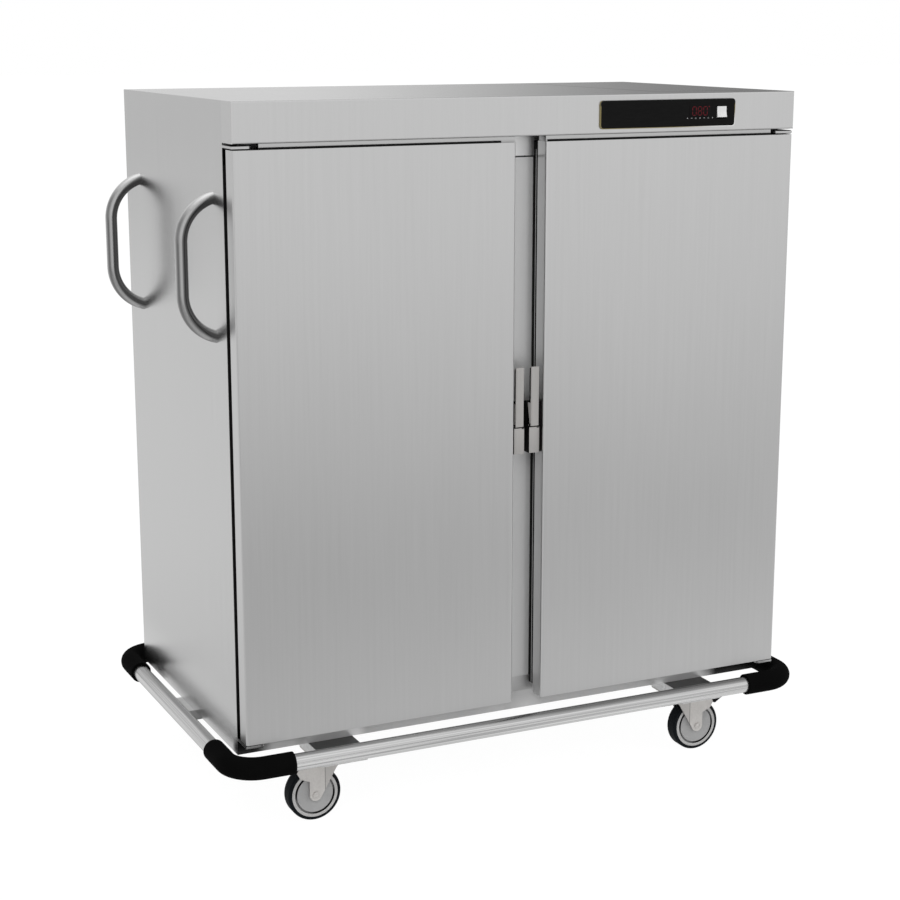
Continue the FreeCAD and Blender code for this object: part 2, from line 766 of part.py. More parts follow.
def door_liner():
    """Inner sheet that closes the left door's tray."""
    return box(
        -half_width + SHEET,
        -door_inner_x - SHEET,
        door_back - SHEET,
        door_back,
        door_bottom + SHEET,
        door_top - SHEET,
    )


def door_core():
    """Foam that fills the left door."""
    foam = door_block(SHEET).cut(door_liner())
    return foam.cut(door_bosses(HINGE_BOSS_RADIUS))


def door_gasket():
    """Four rubber strips in a ring on the back of the left door, clear of the hinge axis."""
    x0 = -hinge_x + GASKET_HINGE_GAP
    x1 = -door_inner_x - GASKET_CENTRE_INSET
    y0 = door_back
    y1 = body_front - GASKET_CLEARANCE
    z0 = door_bottom + GASKET_INSET
    z1 = door_top - GASKET_INSET
    return [
        box(x0, x1, y0, y1, z0, z0 + GASKET_WIDTH),
        box(x0, x1, y0, y1, z1 - GASKET_WIDTH, z1),
        box(x0, x0 + GASKET_WIDTH, y0, y1, z0 + GASKET_WIDTH, z1 - GASKET_WIDTH),
        box(x1 - GASKET_WIDTH, x1, y0, y1, z0 + GASKET_WIDTH, z1 - GASKET_WIDTH),
    ]


def hinge_plate(seat_z, leg_end_z):
    """Left pivot plate on the carcass front, with a leg along the frame up to a height."""
    near = -half_width
    far = near + HINGE_PLATE_WIDTH
    front = door_front + HINGE_FRONT_MARGIN
    tongue = box(near, far, front, body_front, seat_z, seat_z + HINGE_PLATE_THICKNESS)
    corner = edges_along(tongue, Z_AXIS, lambda p: p.y < hinge_y and p.x > -hinge_x)
    tongue = tongue.makeFillet(HINGE_PLATE_CORNER, corner)
    leg = box(
        near, near + HINGE_LEG_WIDTH, body_front - HINGE_LEG_THICKNESS, body_front, seat_z, leg_end_z
    )
    hole = hinge_axis_rod(seat_z - SHEET, seat_z + HINGE_PLATE_THICKNESS + SHEET, HINGE_PIN_RADIUS)
    return join(tongue, leg).cut(hole)


def hinge_plates():
    """Upper and lower plates of both doors."""
    upper_z = door_top + HINGE_PLATE_GAP
    lower_z = door_bottom - HINGE_PLATE_GAP - HINGE_PLATE_THICKNESS
    upper = hinge_plate(upper_z, upper_z - HINGE_LEG_HEIGHT)
    lower = hinge_plate(lower_z, lower_z + HINGE_LEG_HEIGHT)
    return [upper, mirror_x(upper), lower, mirror_x(lower)]


def hinge_pins():
    """Pins in the plates; the lower ones have a collar that carries the door."""
    upper_z = door_top + HINGE_PLATE_GAP + HINGE_PLATE_THICKNESS
    upper = hinge_axis_rod(door_top - HINGE_PIN_REACH, upper_z, HINGE_PIN_RADIUS)
    lower_z = door_bottom - HINGE_PLATE_GAP - HINGE_PLATE_THICKNESS
    lower = join(
        hinge_axis_rod(lower_z, door_bottom + HINGE_PIN_REACH, HINGE_PIN_RADIUS),
        hinge_axis_rod(door_bottom - HINGE_PLATE_GAP, door_bottom - GASKET_CLEARANCE, HINGE_BOSS_RADIUS),
    )
    return [upper, mirror_x(upper), lower, mirror_x(lower)]


# Left latch; the right one is its mirror copy


def lever_slot():
    """Space in the latch body that the lever's foot swings in."""
    half = LEVER_WIDTH / 2 + LEVER_SIDE_CLEARANCE
    return box(
        -latch_centre_x - half,
        -latch_centre_x + half,
        door_front,
        latch_body_back - LATCH_BLOCK_PROUD,
        latch_block_top,
        latch_top + SHEET,
    )


def rib_window():
    """Opening in the latch body's inner wall, beside the lever's rib."""
    return box(
        -latch_centre_x,
        0,
        door_front,
        lever_back + LATCH_WINDOW_DEPTH,
        lever_pivot_z + LATCH_EAR_HEIGHT,
        latch_top + SHEET,
    )


def lever_pin(radius, overrun):
    """Axle of the lever, as wide as the latch block less a little."""
    length = LATCH_BLOCK_WIDTH - 2 * LEVER_PIN_INSET + 2 * overrun
    start = Vector(-latch_centre_x - length / 2, lever_pivot_y, lever_pivot_z)
    return rod(start, X_AXIS, length, radius)


def latch_housing():
    """Body on the left door's edge: a proud block under the lever, with an ear on each side of it."""
    body = box(
        -door_inner_x,
        -LATCH_CENTRE_MARGIN,
        latch_body_front,
        latch_body_back,
        latch_bottom,
        latch_top,
    )
    block = box(
        -LATCH_CENTRE_MARGIN - LATCH_BLOCK_WIDTH,
        -LATCH_CENTRE_MARGIN,
        latch_block_front,
        latch_body_front,
        latch_bottom,
        lever_pivot_z + LATCH_EAR_HEIGHT,
    )
    pin_hole = lever_pin(LEVER_PIN_RADIUS + RUNNING_CLEARANCE, LEVER_PIN_INSET)
    return join(body, block).cut([lever_slot(), rib_window(), pin_hole])


def latch_lever():
    """Flat pull lever with its knuckle, cam and stiffening ribs."""
    x0 = -latch_centre_x - LEVER_WIDTH / 2
    x1 = -latch_centre_x + LEVER_WIDTH / 2
    blade = box(x0, x1, lever_front, lever_back, lever_pivot_z - LEVER_FOOT, lever_top)
    middle_y = (lever_front + lever_back) / 2
    top_edge = edges_along(blade, X_AXIS, lambda p: p.z > lever_rib_top and p.y < middle_y)
    blade = blade.makeFillet(LEVER_THICKNESS / 2, top_edge)
    knuckle = rod(Vector(x0, lever_pivot_y, lever_pivot_z), X_AXIS, LEVER_WIDTH, LEVER_KNUCKLE_RADIUS)
    web = box(x0, x1, lever_back, lever_pivot_y, lever_pivot_z, lever_pivot_z + LEVER_KNUCKLE_RADIUS)
    cam = box(
        x0 + LEVER_RIB_THICKNESS,
        x1 - LEVER_RIB_THICKNESS,
        lever_pivot_y,
        lever_pivot_y + LEVER_CAM_REACH,
        lever_pivot_z - LEVER_RIB_THICKNESS / 2,
        lever_pivot_z + LEVER_RIB_THICKNESS / 2,
    )
    ribs = []
    for x in (x0, x1 - LEVER_RIB_THICKNESS):
        outline = [
            Vector(x, lever_back, lever_pivot_z),
            Vector(x, lever_pivot_y, lever_pivot_z),
            Vector(x, lever_back + LEVER_RIB_DEPTH, lever_rib_top),
            Vector(x, lever_back, lever_rib_top),
        ]
        ribs.append(plate(outline, Vector(LEVER_RIB_THICKNESS, 0, 0)))
    return join(blade, knuckle, web, cam, lever_pin(LEVER_PIN_RADIUS, 0), *ribs)


def latch_strikes():
    """Two angle plates on the mullion behind the latches."""
    z0 = latch_bottom + STRIKE_RISE
    z1 = z0 + STRIKE_HEIGHT
    x0 = -latch_centre_x - STRIKE_WIDTH / 2
    x1 = -latch_centre_x + STRIKE_WIDTH / 2
    face = box(x0, x1, body_front - STRIKE_THICKNESS, body_front, z0, z1)
    lip = box(x0, x1, body_front - STRIKE_LIP, body_front, z1 - STRIKE_THICKNESS, z1)
    strike = join(face, lip)
    return [strike, mirror_x(strike)]


# Push handles, bumper ring and chassis


def flip_z(offset):
    """Same offset downwards."""
    return Vector(offset.x, offset.y, -offset.z)


def push_handle(y):
    """Bent tube on the left panel: a straight grip and two bends whose ends meet the panel aslant."""
    slant = math.radians(HANDLE_SLANT)
    half_turn = math.radians((90 + HANDLE_SLANT) / 2)
    along = Vector(math.cos(slant), 0, math.sin(slant))
    turned = Vector(HANDLE_BEND * (1 - math.sin(slant)), 0, HANDLE_BEND * math.cos(slant))
    halfway = Vector(HANDLE_BEND * (1 - math.sin(half_turn)), 0, HANDLE_BEND * math.cos(half_turn))
    end = turned + along * ((HANDLE_REACH - turned.x) / along.x)
    grip_x = -half_width - HANDLE_REACH
    low = base_z + HANDLE_RISE
    high = low + HANDLE_SPAN
    upper = Vector(grip_x, y, high - end.z)
    lower = Vector(grip_x, y, low + end.z)
    tail = end + along * HANDLE_TUBE
    top_tail = upper + tail
    path = Part.Wire(
        [
            Part.LineSegment(top_tail, upper + turned).toShape(),
            Part.Arc(upper + turned, upper + halfway, upper).toShape(),
            Part.LineSegment(upper, lower).toShape(),
            Part.Arc(lower, lower + flip_z(halfway), lower + flip_z(turned)).toShape(),
            Part.LineSegment(lower + flip_z(turned), lower + flip_z(tail)).toShape(),
        ]
    )
    tube = []
    for radius in (HANDLE_TUBE / 2, HANDLE_TUBE / 2 - HANDLE_WALL):
        ring = Part.Wire(Part.makeCircle(radius, top_tail, along))
        tube.append(path.makePipeShell([ring], True, True))
    clear = box(
        -half_width, 0, y - HANDLE_TUBE, y + HANDLE_TUBE, low - 2 * HANDLE_TUBE, high + 2 * HANDLE_TUBE
    )
    return tube[0].cut([tube[1], clear])


def bumper_tube(start, axis, length):
    """Round aluminium tube."""
    outer = rod(start, axis, length, BUMPER_TUBE / 2)
    return outer.cut(rod(start, axis, length, BUMPER_TUBE / 2 - BUMPER_WALL))


def long_tubes():
    """Front and rear tubes, which reach into the corner elbows' sockets."""
    half = side_tube_x - CORNER_LEG_X + SOCKET_DEPTH
    return [
        bumper_tube(Vector(-half, y, bumper_z), X_AXIS, 2 * half) for y in (front_tube_y, rear_tube_y)
    ]


def side_tubes():
    """Left and right tubes, which reach into the corner elbows' sockets."""
    half = ring_depth / 2 - CORNER_LEG_Y + SOCKET_DEPTH
    return [
        bumper_tube(Vector(x, -half, bumper_z), Y_AXIS, 2 * half) for x in (-side_tube_x, side_tube_x)
    ]


def bumper_corners():
    """Moulded elbows with a socket in each end."""
    corner = Vector(-side_tube_x, front_tube_y, bumper_z)
    along_x = corner + Vector(CORNER_LEG_X, 0, 0)
    along_y = corner + Vector(0, CORNER_LEG_Y, 0)
    bend_x = corner + Vector(CORNER_BEND, 0, 0)
    bend_y = corner + Vector(0, CORNER_BEND, 0)
    cut_in = CORNER_BEND * (1 - math.sqrt(0.5))
    bend_middle = corner + Vector(cut_in, cut_in, 0)
    path = Part.Wire(
        [
            Part.LineSegment(along_x, bend_x).toShape(),
            Part.Arc(bend_x, bend_middle, bend_y).toShape(),
            Part.LineSegment(bend_y, along_y).toShape(),
        ]
    )
    ring = Part.Wire(Part.makeCircle(CORNER_TUBE / 2, along_x, X_AXIS))
    elbow = path.makePipeShell([ring], True, True)
    bore = BUMPER_TUBE / 2 + SOCKET_CLEARANCE
    reach = SOCKET_DEPTH + SOCKET_CLEARANCE
    elbow = elbow.cut(
        [
            rod(along_x - X_AXIS * reach, X_AXIS, reach, bore),
            rod(along_y - Y_AXIS * reach, Y_AXIS, reach, bore),
        ]
    )
    rear = elbow.mirror(ORIGIN, Y_AXIS)
    return [elbow, mirror_x(elbow), rear, mirror_x(rear)]


def saddle(start, axis, length):
    """Round of a bumper tube with the clearance that a chassis end leaves for it."""
    return rod(start, axis, length, BUMPER_TUBE / 2 + SADDLE_CLEARANCE)


def chassis_channels():
    """Two hollow beams under the base, from the front bumper tube to the rear one."""
    x0 = channel_x - CHANNEL_WIDTH / 2
    x1 = channel_x + CHANNEL_WIDTH / 2
    beam = box(x0, x1, front_tube_y, rear_tube_y, channel_bottom, base_z)
    beam = hollow_section(beam, Y_AXIS, CHANNEL_WALL)
    tubes = [
        saddle(Vector(0, y, bumper_z), X_AXIS, side_tube_x) for y in (front_tube_y, rear_tube_y)
    ]
    beam = beam.cut(tubes)
    return [mirror_x(beam), beam]


def side_arms():
    """Two short hollow arms from the beams to the side bumper tubes."""
    x0 = channel_x + CHANNEL_WIDTH / 2
    y0 = body_middle_y - ARM_WIDTH / 2
    y1 = body_middle_y + ARM_WIDTH / 2
    arm = box(x0, side_tube_x - SADDLE_LIP, y0, y1, base_z - ARM_HEIGHT, base_z)
    arm = hollow_section(arm, X_AXIS, CHANNEL_WALL)
    arm = arm.cut(saddle(Vector(side_tube_x, y0 - ARM_WIDTH, bumper_z), Y_AXIS, 3 * ARM_WIDTH))
    return [mirror_x(arm), arm]


def bolt_head(start, axis):
    """Hexagon head seated on a face."""
    head = Part.makePolygon(
        [
            Vector(
                BOLT_HEAD_RADIUS * math.cos(math.radians(60 * i)),
                BOLT_HEAD_RADIUS * math.sin(math.radians(60 * i)),
                0,
            )
            for i in range(7)
        ]
    )
    solid = Part.Face(head).extrude(Vector(0, 0, BOLT_HEAD_HEIGHT))
    solid.Placement = FreeCAD.Placement(start, FreeCAD.Rotation(Z_AXIS, axis))
    return solid


def chassis_bolts():
    """Bolt heads under the caster plates and on the sides of the beams beside the tubes."""
    bolts = []
    for swivel, _ in caster_places():
        for dx in (-1, 1):
            for dy in (-1, 1):
                offset = Vector(
                    dx * (CASTER_PLATE_LENGTH / 2 - CASTER_BOLT_MARGIN),
                    dy * (CASTER_PLATE_WIDTH / 2 - CASTER_BOLT_MARGIN),
                    caster_plate_bottom,
                )
                bolts.append(bolt_head(swivel + offset, -Z_AXIS))
    z = (channel_bottom + base_z) / 2
    for y in (front_tube_y + TUBE_BOLT_INSET, rear_tube_y - TUBE_BOLT_INSET):
        for side in (-1, 1):
            for face in (-1, 1):
                x = side * channel_x + face * CHANNEL_WIDTH / 2
                bolts.append(bolt_head(Vector(x, y, z), X_AXIS * face))
    return bolts


# Casters, drawn with the trail along +X from a swivel axis at the origin


def caster_places():
    """Swivel axis on the floor and turn of the trail for each corner."""
    front_y = body_front + CASTER_INSET
    back_y = body_back - CASTER_INSET
    return [
        (Vector(-channel_x, front_y, 0), 180),
        (Vector(channel_x, front_y, 0), 0),
        (Vector(-channel_x, back_y, 0), 180),
        (Vector(channel_x, back_y, 0), 0),
    ]


def place_caster(shape, swivel, turn):
    """Copy of a caster piece at its corner."""
    placed = shape.copy()
    placed.rotate(ORIGIN, Z_AXIS, turn)
    placed.translate(swivel)
    return placed


def caster_plate():
    """Fixed half of the caster: mounting plate, raceway and king pin."""
    plate_block = box(
        -CASTER_PLATE_LENGTH / 2,
        CASTER_PLATE_LENGTH / 2,
        -CASTER_PLATE_WIDTH / 2,
        CASTER_PLATE_WIDTH / 2,
        caster_plate_bottom,
        channel_bottom,
    )
    race = rod(Vector(0, 0, race_bottom), Z_AXIS, RACE_HEIGHT, RACE_RADIUS)
    head_top = fork_underside - RACE_GAP
    pin = rod(Vector(0, 0, head_top), Z_AXIS, race_bottom - head_top, KING_PIN_RADIUS)
    head = rod(
        Vector(0, 0, head_top - KING_PIN_HEAD_HEIGHT), Z_AXIS, KING_PIN_HEAD_HEIGHT, KING_PIN_HEAD_RADIUS
    )
    return join(plate_block, race, pin, head)


def tangent_point(point, centre, radius):
    """Where the left-hand tangent from an outside point touches a circle in the leg's plane."""
    gap = centre - point
    turn = math.asin(radius / gap.Length)
    reach = math.sqrt(gap.Length**2 - radius**2)
    angle = math.atan2(gap.z, gap.x) - turn
    return point + Vector(reach * math.cos(angle), 0, reach * math.sin(angle))


def fork_leg():
    """Side plate of the fork: wide under the raceway, an outer ear, and a round boss at the axle."""
    axle = Vector(TRAIL, 0, axle_z)
    shoulder = Vector(FORK_SHOULDER, 0, fork_top - FORK_SHOULDER_DROP)
    touch = tangent_point(shoulder, axle, FORK_BOSS_RADIUS)
    outer = Vector(TRAIL + FORK_BOSS_RADIUS, 0, axle_z)
    points = [
        outer,
        Vector(TRAIL + FORK_BOSS_RADIUS, 0, fork_top - EAR_ROOT_DROP),
        Vector(EAR_CORNER, 0, fork_top - EAR_CORNER_DROP),
        Vector(EAR_TIP, 0, fork_top - EAR_TIP_DROP),
        Vector(EAR_TOP, 0, fork_top),
        Vector(FORK_INNER_TOP, 0, fork_top),
        shoulder,
        touch,
    ]
    away = (touch - axle) + (outer - axle)
    lowest = axle - away.normalize() * FORK_BOSS_RADIUS
    if lowest.z > axle_z:
        lowest = axle + away * FORK_BOSS_RADIUS
    edges = [Part.LineSegment(a, b).toShape() for a, b in zip(points, points[1:])]
    edges.append(Part.Arc(touch, lowest, outer).toShape())
    leg = Part.Face(Part.Wire(edges)).extrude(Vector(0, FORK_SHEET, 0))
    hole = rod(Vector(TRAIL, -FORK_SHEET, axle_z), Y_AXIS, 3 * FORK_SHEET, AXLE_RADIUS)
    return leg.cut(hole)


def pedal_pin(radius, half_length):
    """Pivot of the brake pedal across the fork."""
    start = Vector(PEDAL_PIVOT, -half_length, fork_top - PEDAL_PIVOT_DROP)
    return rod(start, Y_AXIS, 2 * half_length, radius)


def caster_fork(braked):
    """Pressed fork: a round crown and two legs; a braked one has the pedal's pivot holes."""
    half = FORK_GAP / 2
    crown = rod(Vector(0, 0, fork_underside), Z_AXIS, FORK_SHEET, FORK_DISC_RADIUS)
    bridge = box(0, EAR_TOP, -half, half, fork_underside, fork_top)
    legs = []
    for y in (-half - FORK_SHEET, half):
        leg = fork_leg()
        leg.translate(Vector(0, y, 0))
        legs.append(leg)
    fork = join(crown, bridge, *legs)
    cuts = [
        rod(
            Vector(0, 0, fork_underside - FORK_SHEET),
            Z_AXIS,
            3 * FORK_SHEET,
            KING_PIN_RADIUS + RUNNING_CLEARANCE,
        )
    ]
    if braked:
        slot = half - FORK_SHEET
        cuts.append(pedal_pin(PEDAL_PIN_RADIUS + RUNNING_CLEARANCE, half + 2 * FORK_SHEET))
        cuts.append(
            box(
                PEDAL_PIVOT - PEDAL_BOSS_RADIUS - FORK_SHEET,
                EAR_TIP,
                -slot,
                slot,
                fork_underside - FORK_SHEET,
                fork_top + FORK_SHEET,
            )
        )
    return fork.cut(cuts)


def caster_axle():
    """Axle bolt with its head and nut outside the fork."""
    half = FORK_GAP / 2 + FORK_SHEET
    bolt = rod(Vector(TRAIL, -half, axle_z), Y_AXIS, 2 * half, AXLE_RADIUS)
    head = rod(Vector(TRAIL, -half - AXLE_HEAD_HEIGHT, axle_z), Y_AXIS, AXLE_HEAD_HEIGHT, AXLE_HEAD_RADIUS)
    nut = rod(Vector(TRAIL, half, axle_z), Y_AXIS, AXLE_HEAD_HEIGHT, AXLE_HEAD_RADIUS)
    return join(bolt, head, nut)


def wheel_disc(radius, width):
    """Disc on the axle, centred between the legs."""
    return rod(Vector(TRAIL, -width / 2, axle_z), Y_AXIS, width, radius)


def wheel_ring(outer, inner, width):
    """Ring on the axle, centred between the legs."""
    return wheel_disc(outer, width).cut(wheel_disc(inner, width))


def caster_wheel():
    """Moulded wheel with a ring groove in each face, a boss and the axle's bore."""
    rim = WHEEL_DIAMETER / 2 - TYRE_THICKNESS - TYRE_CLEARANCE
    web_width = TYRE_WIDTH - 2 * GROOVE_DEPTH
    body = wheel_disc(rim, TYRE_WIDTH)
    groove = wheel_ring(GROOVE_OUTER_RADIUS, GROOVE_OUTER_RADIUS - GROOVE_WIDTH, TYRE_WIDTH)
    groove = groove.cut(wheel_disc(rim, web_width))
    wheel = join(body.cut(groove), wheel_disc(HUB_BOSS_RADIUS, HUB_WIDTH))
    return wheel.cut(wheel_disc(AXLE_RADIUS + RUNNING_CLEARANCE, HUB_WIDTH))


def caster_tyre():
    """Rubber tread ring with rounded shoulders."""
    radius = WHEEL_DIAMETER / 2
    tread = wheel_disc(radius, TYRE_WIDTH)
    tread = tread.makeFillet(TYRE_ROUND, [e for e in tread.Edges if len(e.Vertexes) == 1])
    return tread.cut(wheel_disc(radius - TYRE_THICKNESS, TYRE_WIDTH))


def pedal_bar(start, end):
    """Flat bar of the pedal from one point of its middle line to the next."""
    run = end - start
    half = PEDAL_THICKNESS / 2
    bar = box(0, run.Length, -PEDAL_WIDTH / 2, PEDAL_WIDTH / 2, -half, half)
    bar.rotate(ORIGIN, Y_AXIS, -math.degrees(math.atan2(run.z, run.x)))
    bar.translate(start)
    return bar


def brake_pedal():
    """Foot lever on the fork's ears: it dips past their tips, then turns up to its tread."""
    pivot = Vector(PEDAL_PIVOT, 0, fork_top - PEDAL_PIVOT_DROP)
    knee = pivot + Vector(PEDAL_KNEE_REACH, 0, -PEDAL_KNEE_DROP)
    tip = knee + Vector(PEDAL_TREAD_REACH, 0, PEDAL_TREAD_RISE)
    boss = pedal_pin(PEDAL_BOSS_RADIUS, PEDAL_WIDTH / 2)
    bend = rod(knee - Y_AXIS * (PEDAL_WIDTH / 2), Y_AXIS, PEDAL_WIDTH, PEDAL_THICKNESS / 2)
    pin = pedal_pin(PEDAL_PIN_RADIUS, FORK_GAP / 2 + FORK_SHEET)
    return join(boss, pedal_bar(pivot, knee), bend, pedal_bar(knee, tip), pin)


def save_casters():
    """Each corner's moving caster pieces in nodes of their own."""
    corners = ("front_left", "front_right", "rear_left", "rear_right")
    plates = []
    for corner, (swivel, turn) in zip(corners, caster_places()):
        braked = corner.endswith("right")
        plates.append(place_caster(caster_plate(), swivel, turn))
        save("caster_fork_" + corner, place_caster(caster_fork(braked), swivel, turn))
        save("caster_axle_" + corner, place_caster(caster_axle(), swivel, turn))
        save("caster_wheel_" + corner, place_caster(caster_wheel(), swivel, turn))
        save("caster_tyre_" + corner, place_caster(caster_tyre(), swivel, turn))
        if braked:
            save("brake_pedal_" + corner, place_caster(brake_pedal(), swivel, turn))
    save("caster_plates", *plates)


def save_doors():
    """Both doors with their latches, the right one mirrored."""
    pieces = {
        "door_skin": [door_skin()],
        "door_liner": [door_liner()],
        "door_core": [door_core()],
        "door_gasket": door_gasket(),
        "latch_housing": [latch_housing()],
        "latch_lever": [latch_lever()],
    }
    for name, shapes in pieces.items():
        save("left_" + name, *shapes)
        save("right_" + name, *[mirror_x(shape) for shape in shapes])


save("left_side_panel", side_panel())
save("right_side_panel", mirror_x(side_panel()))
save("back_panel", back_panel())
save("top_cover", top_cover())
save("base_pan", base_pan())
save("front_frame", *front_frame())
save("centre_mullion", centre_mullion())
save("chamber_liner", *chamber_liner())
save("insulation", insulation())
save("air_baffle", air_baffle())
save("fan_motor", fan_motor())
save("fan_impeller", fan_impeller())
save("heating_element", heating_element())
save("rack_posts", *rack_posts())
save("tray_slides", *tray_slides())
save("control_panel", control_panel())
save("control_box", control_box())
save("rocker_switch", rocker_switch())
save("power_inlet", power_inlet())
save("hinge_plates", *hinge_plates())
save("hinge_pins", *hinge_pins())
save("latch_strikes", *latch_strikes())
save("push_handle_front", push_handle(body_front + HANDLE_FRONT_INSET))
save("push_handle_rear", push_handle(body_back - HANDLE_BACK_INSET))
save("bumper_tubes_long", *long_tubes())
save("bumper_tubes_side", *side_tubes())
save("bumper_corners", *bumper_corners())
save("chassis_members", *chassis_channels(), *side_arms())
save("chassis_bolts", *chassis_bolts())
save_casters()
save_doors()
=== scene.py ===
"""Heated banquet cart: finishes, small fittings, floor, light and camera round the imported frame.

Metres. X runs along the doors with the push handles on the -X side, Y runs from the doors to the back
and Z runs up from the floor.
"""
import json
import math

import bmesh
import bpy
from mathutils import Matrix, Vector


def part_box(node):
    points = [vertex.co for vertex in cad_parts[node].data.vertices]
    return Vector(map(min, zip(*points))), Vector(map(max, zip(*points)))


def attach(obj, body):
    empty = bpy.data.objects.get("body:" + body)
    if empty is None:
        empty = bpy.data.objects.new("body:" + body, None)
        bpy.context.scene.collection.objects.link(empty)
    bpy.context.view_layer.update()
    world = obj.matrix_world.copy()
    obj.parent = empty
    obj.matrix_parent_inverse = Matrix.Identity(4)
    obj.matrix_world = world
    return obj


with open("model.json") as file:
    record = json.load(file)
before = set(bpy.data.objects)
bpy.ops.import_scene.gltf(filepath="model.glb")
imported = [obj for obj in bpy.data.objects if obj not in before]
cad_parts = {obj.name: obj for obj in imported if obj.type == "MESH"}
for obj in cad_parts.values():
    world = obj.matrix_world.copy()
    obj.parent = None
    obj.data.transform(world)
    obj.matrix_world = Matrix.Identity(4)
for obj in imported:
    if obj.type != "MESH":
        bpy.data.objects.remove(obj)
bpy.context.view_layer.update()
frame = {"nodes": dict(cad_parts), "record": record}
nodes = frame["nodes"]
scene = bpy.context.scene

SIDES = {"left": -1, "right": 1}
FRONT = Vector((0.0, -1.0, 0.0))
BACK = Vector((0.0, 1.0, 0.0))
UP = Vector((0.0, 0.0, 1.0))
DOWN = Vector((0.0, 0.0, -1.0))

# Camera
CAMERA_PLACE = (-1.9323, -4.0726, 1.7513)
CAMERA_AZIMUTH = -25.32
CAMERA_ELEVATION = 12.71
CAMERA_LENS = 75.94
CAMERA_SENSOR = 36.0

# Lamps
LAMP_AIM = (0.0, 0.0, 0.8)
LAMP_SIZE = 2.5
KEY_PLACE = (-2.5, -3.5, 4.0)
KEY_POWER = 110.0
FILL_PLACE = (3.5, -2.5, 3.0)
FILL_POWER = 60.0

# Surroundings: as seen, as light, and as mirrored from the front and, left and right, from the rear
ROOM_WHITE = 1.0
ROOM_LIGHT = 0.75
ROOM_FRONT = 0.95
ROOM_REAR = (0.76, 0.24)
ROOM_REAR_X = (0.34, 0.55)
ROOM_REAR_Y = (0.0, 0.4)

# Floor: places along Y with the grey that is mirrored there, and the paler part to the right
FLOOR_HALF = 60.0
FLOOR_GREY = 0.90
FLOOR_GLOW = 1.05
FLOOR_WHITE = 0.92
FLOOR_LEVELS = (
    (-8.0, 0.87),
    (-6.4, 0.84),
    (-5.0, 0.68),
    (-3.5, 0.52),
    (-2.2, 0.45),
    (-1.3, 0.58),
    (0.0, 0.70),
    (2.0, 0.80),
    (8.0, 0.82),
    (14.0, 0.72),
    (24.0, 0.66),
)
FLOOR_SLANT = 0.52
FLOOR_RIGHT = (-1.0, 0.6)
FLOOR_RIGHT_GAIN = 1.15
FLOOR_RIGHT_NEAR_Y = (-6.2, -4.0)
FLOOR_RIGHT_FAR_Y = (0.2, -0.4)

# Places where a finish changes on its piece: limits, or pairs between which it fades
FASCIA_BACK = -0.3385
DOOR_EDGE_X = (0.0418, 0.0393)
FRAME_HEAD_X = (0.085, 0.050)
FRAME_MIDDLE_Z = 1.0
SIDE_PAINTED_SHEEN_Z = (0.34, 0.20)
SIDE_FOOT_Z = (0.226, 0.196)
SIDE_FOOT_Y = (-0.300, -0.336)
BEAM_INNER_X = (0.370, 0.400)
BEAM_OUTER_X = (0.530, 0.505)
BASE_RIGHT_END_X = (0.525, 0.560)
BASE_LEFT_END_X = (-0.595, -0.640)
SIDE_ARM_X = 0.517
HINGE_LEGS_Z = (0.2235, 1.5005)
MULLION_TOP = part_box("centre_mullion")[1].z
MULLION_SEAM_Z = (MULLION_TOP - 0.0030, MULLION_TOP - 0.0020)
MULLION_GASKET_SHADOW_X = (0.0368, 0.0400)
GASKET_RIDGE_X = 0.1
GASKET_RIDGE_Y = (-0.3505, -0.3475)
GASKET_RIDGE_TOP = 1.479
TUBE_FRONT_Y = -0.40
TUBE_RIGHT_X = (-0.38, 0.14)
PANEL_EDGE_X = 0.3
BEZEL_PALE_X = (0.35, 0.50)
BEZEL_PALE_Z = (1.560, 1.530)
BEZEL_DARK_Z = (1.568, 1.574)

# Direction across the handles, from the pale edge of their painted reflection to its dark one
HANDLE_ACROSS_X = 0.904
HANDLE_ACROSS_Y = -0.428

# Seam of the service lid in the top, and the painted shadow beside it
LID_LEFT = 0.385
LID_FRONT = -0.290
LID_SEAM = 0.003
LID_SHADE = 0.030

# Brushed sheet
GRAIN_DEPTH = 0.00010
GRAIN_STRENGTH = 0.25
SHEET_CONTRAST = 0.07

# Eased edges of sheet metal, small blocks and rubber strips
SHEET_EASE = 0.0003
BLOCK_EASE = 0.0004
STRIP_EASE = 0.0006
SHARP_ANGLE = 35

# Pan-head screws: all but the radius as shares of it
SCREW_RADIUS = 0.0042
SCREW_SIDES = 16
SCREW_RIM = 0.30
SCREW_DOME = 0.25
SCREW_TOP = 0.72
HEX_SEAT = 0.52
HEX_RADIUS = 0.36
HEX_WIRE = 0.10

# Control panel
PANEL_CORNER = 0.008
BEZEL_WIDTH = 0.0014
BEZEL_HEIGHT = 0.0007
DISPLAY_MIDDLE = (0.424, 1.5562)
WINDOW_LEFT = 0.027
WINDOW_RIGHT = 0.029
WINDOW_HALF_HEIGHT = 0.0125
WINDOW_THICKNESS = 0.0005
WINDOW_EASE = 0.0002
PRINT_THICKNESS = 0.0002
DIGIT_HEIGHT = 0.0185
DIGIT_WIDTH = 0.0095
DIGIT_PITCH = 0.0145
SEGMENT_WIDTH = 0.0016
LIT_SEGMENTS = {"0": "abcdef", "8": "abcdefg"}
SHOWN_DIGITS = "080"
DEGREE_DOT_X = 0.0245
DEGREE_DOT_RADIUS = 0.0014
MARK_COUNT = 7
MARK_LEFT = 0.392
MARK_PITCH = 0.0110
MARK_ROW_Z = 1.5405
MARK_HALF_WIDTH = 0.0018
MARK_BAR_HALF = 0.0005
MARK_RING_RADIUS = 0.0014
MARK_RING_WIRE = 0.0003

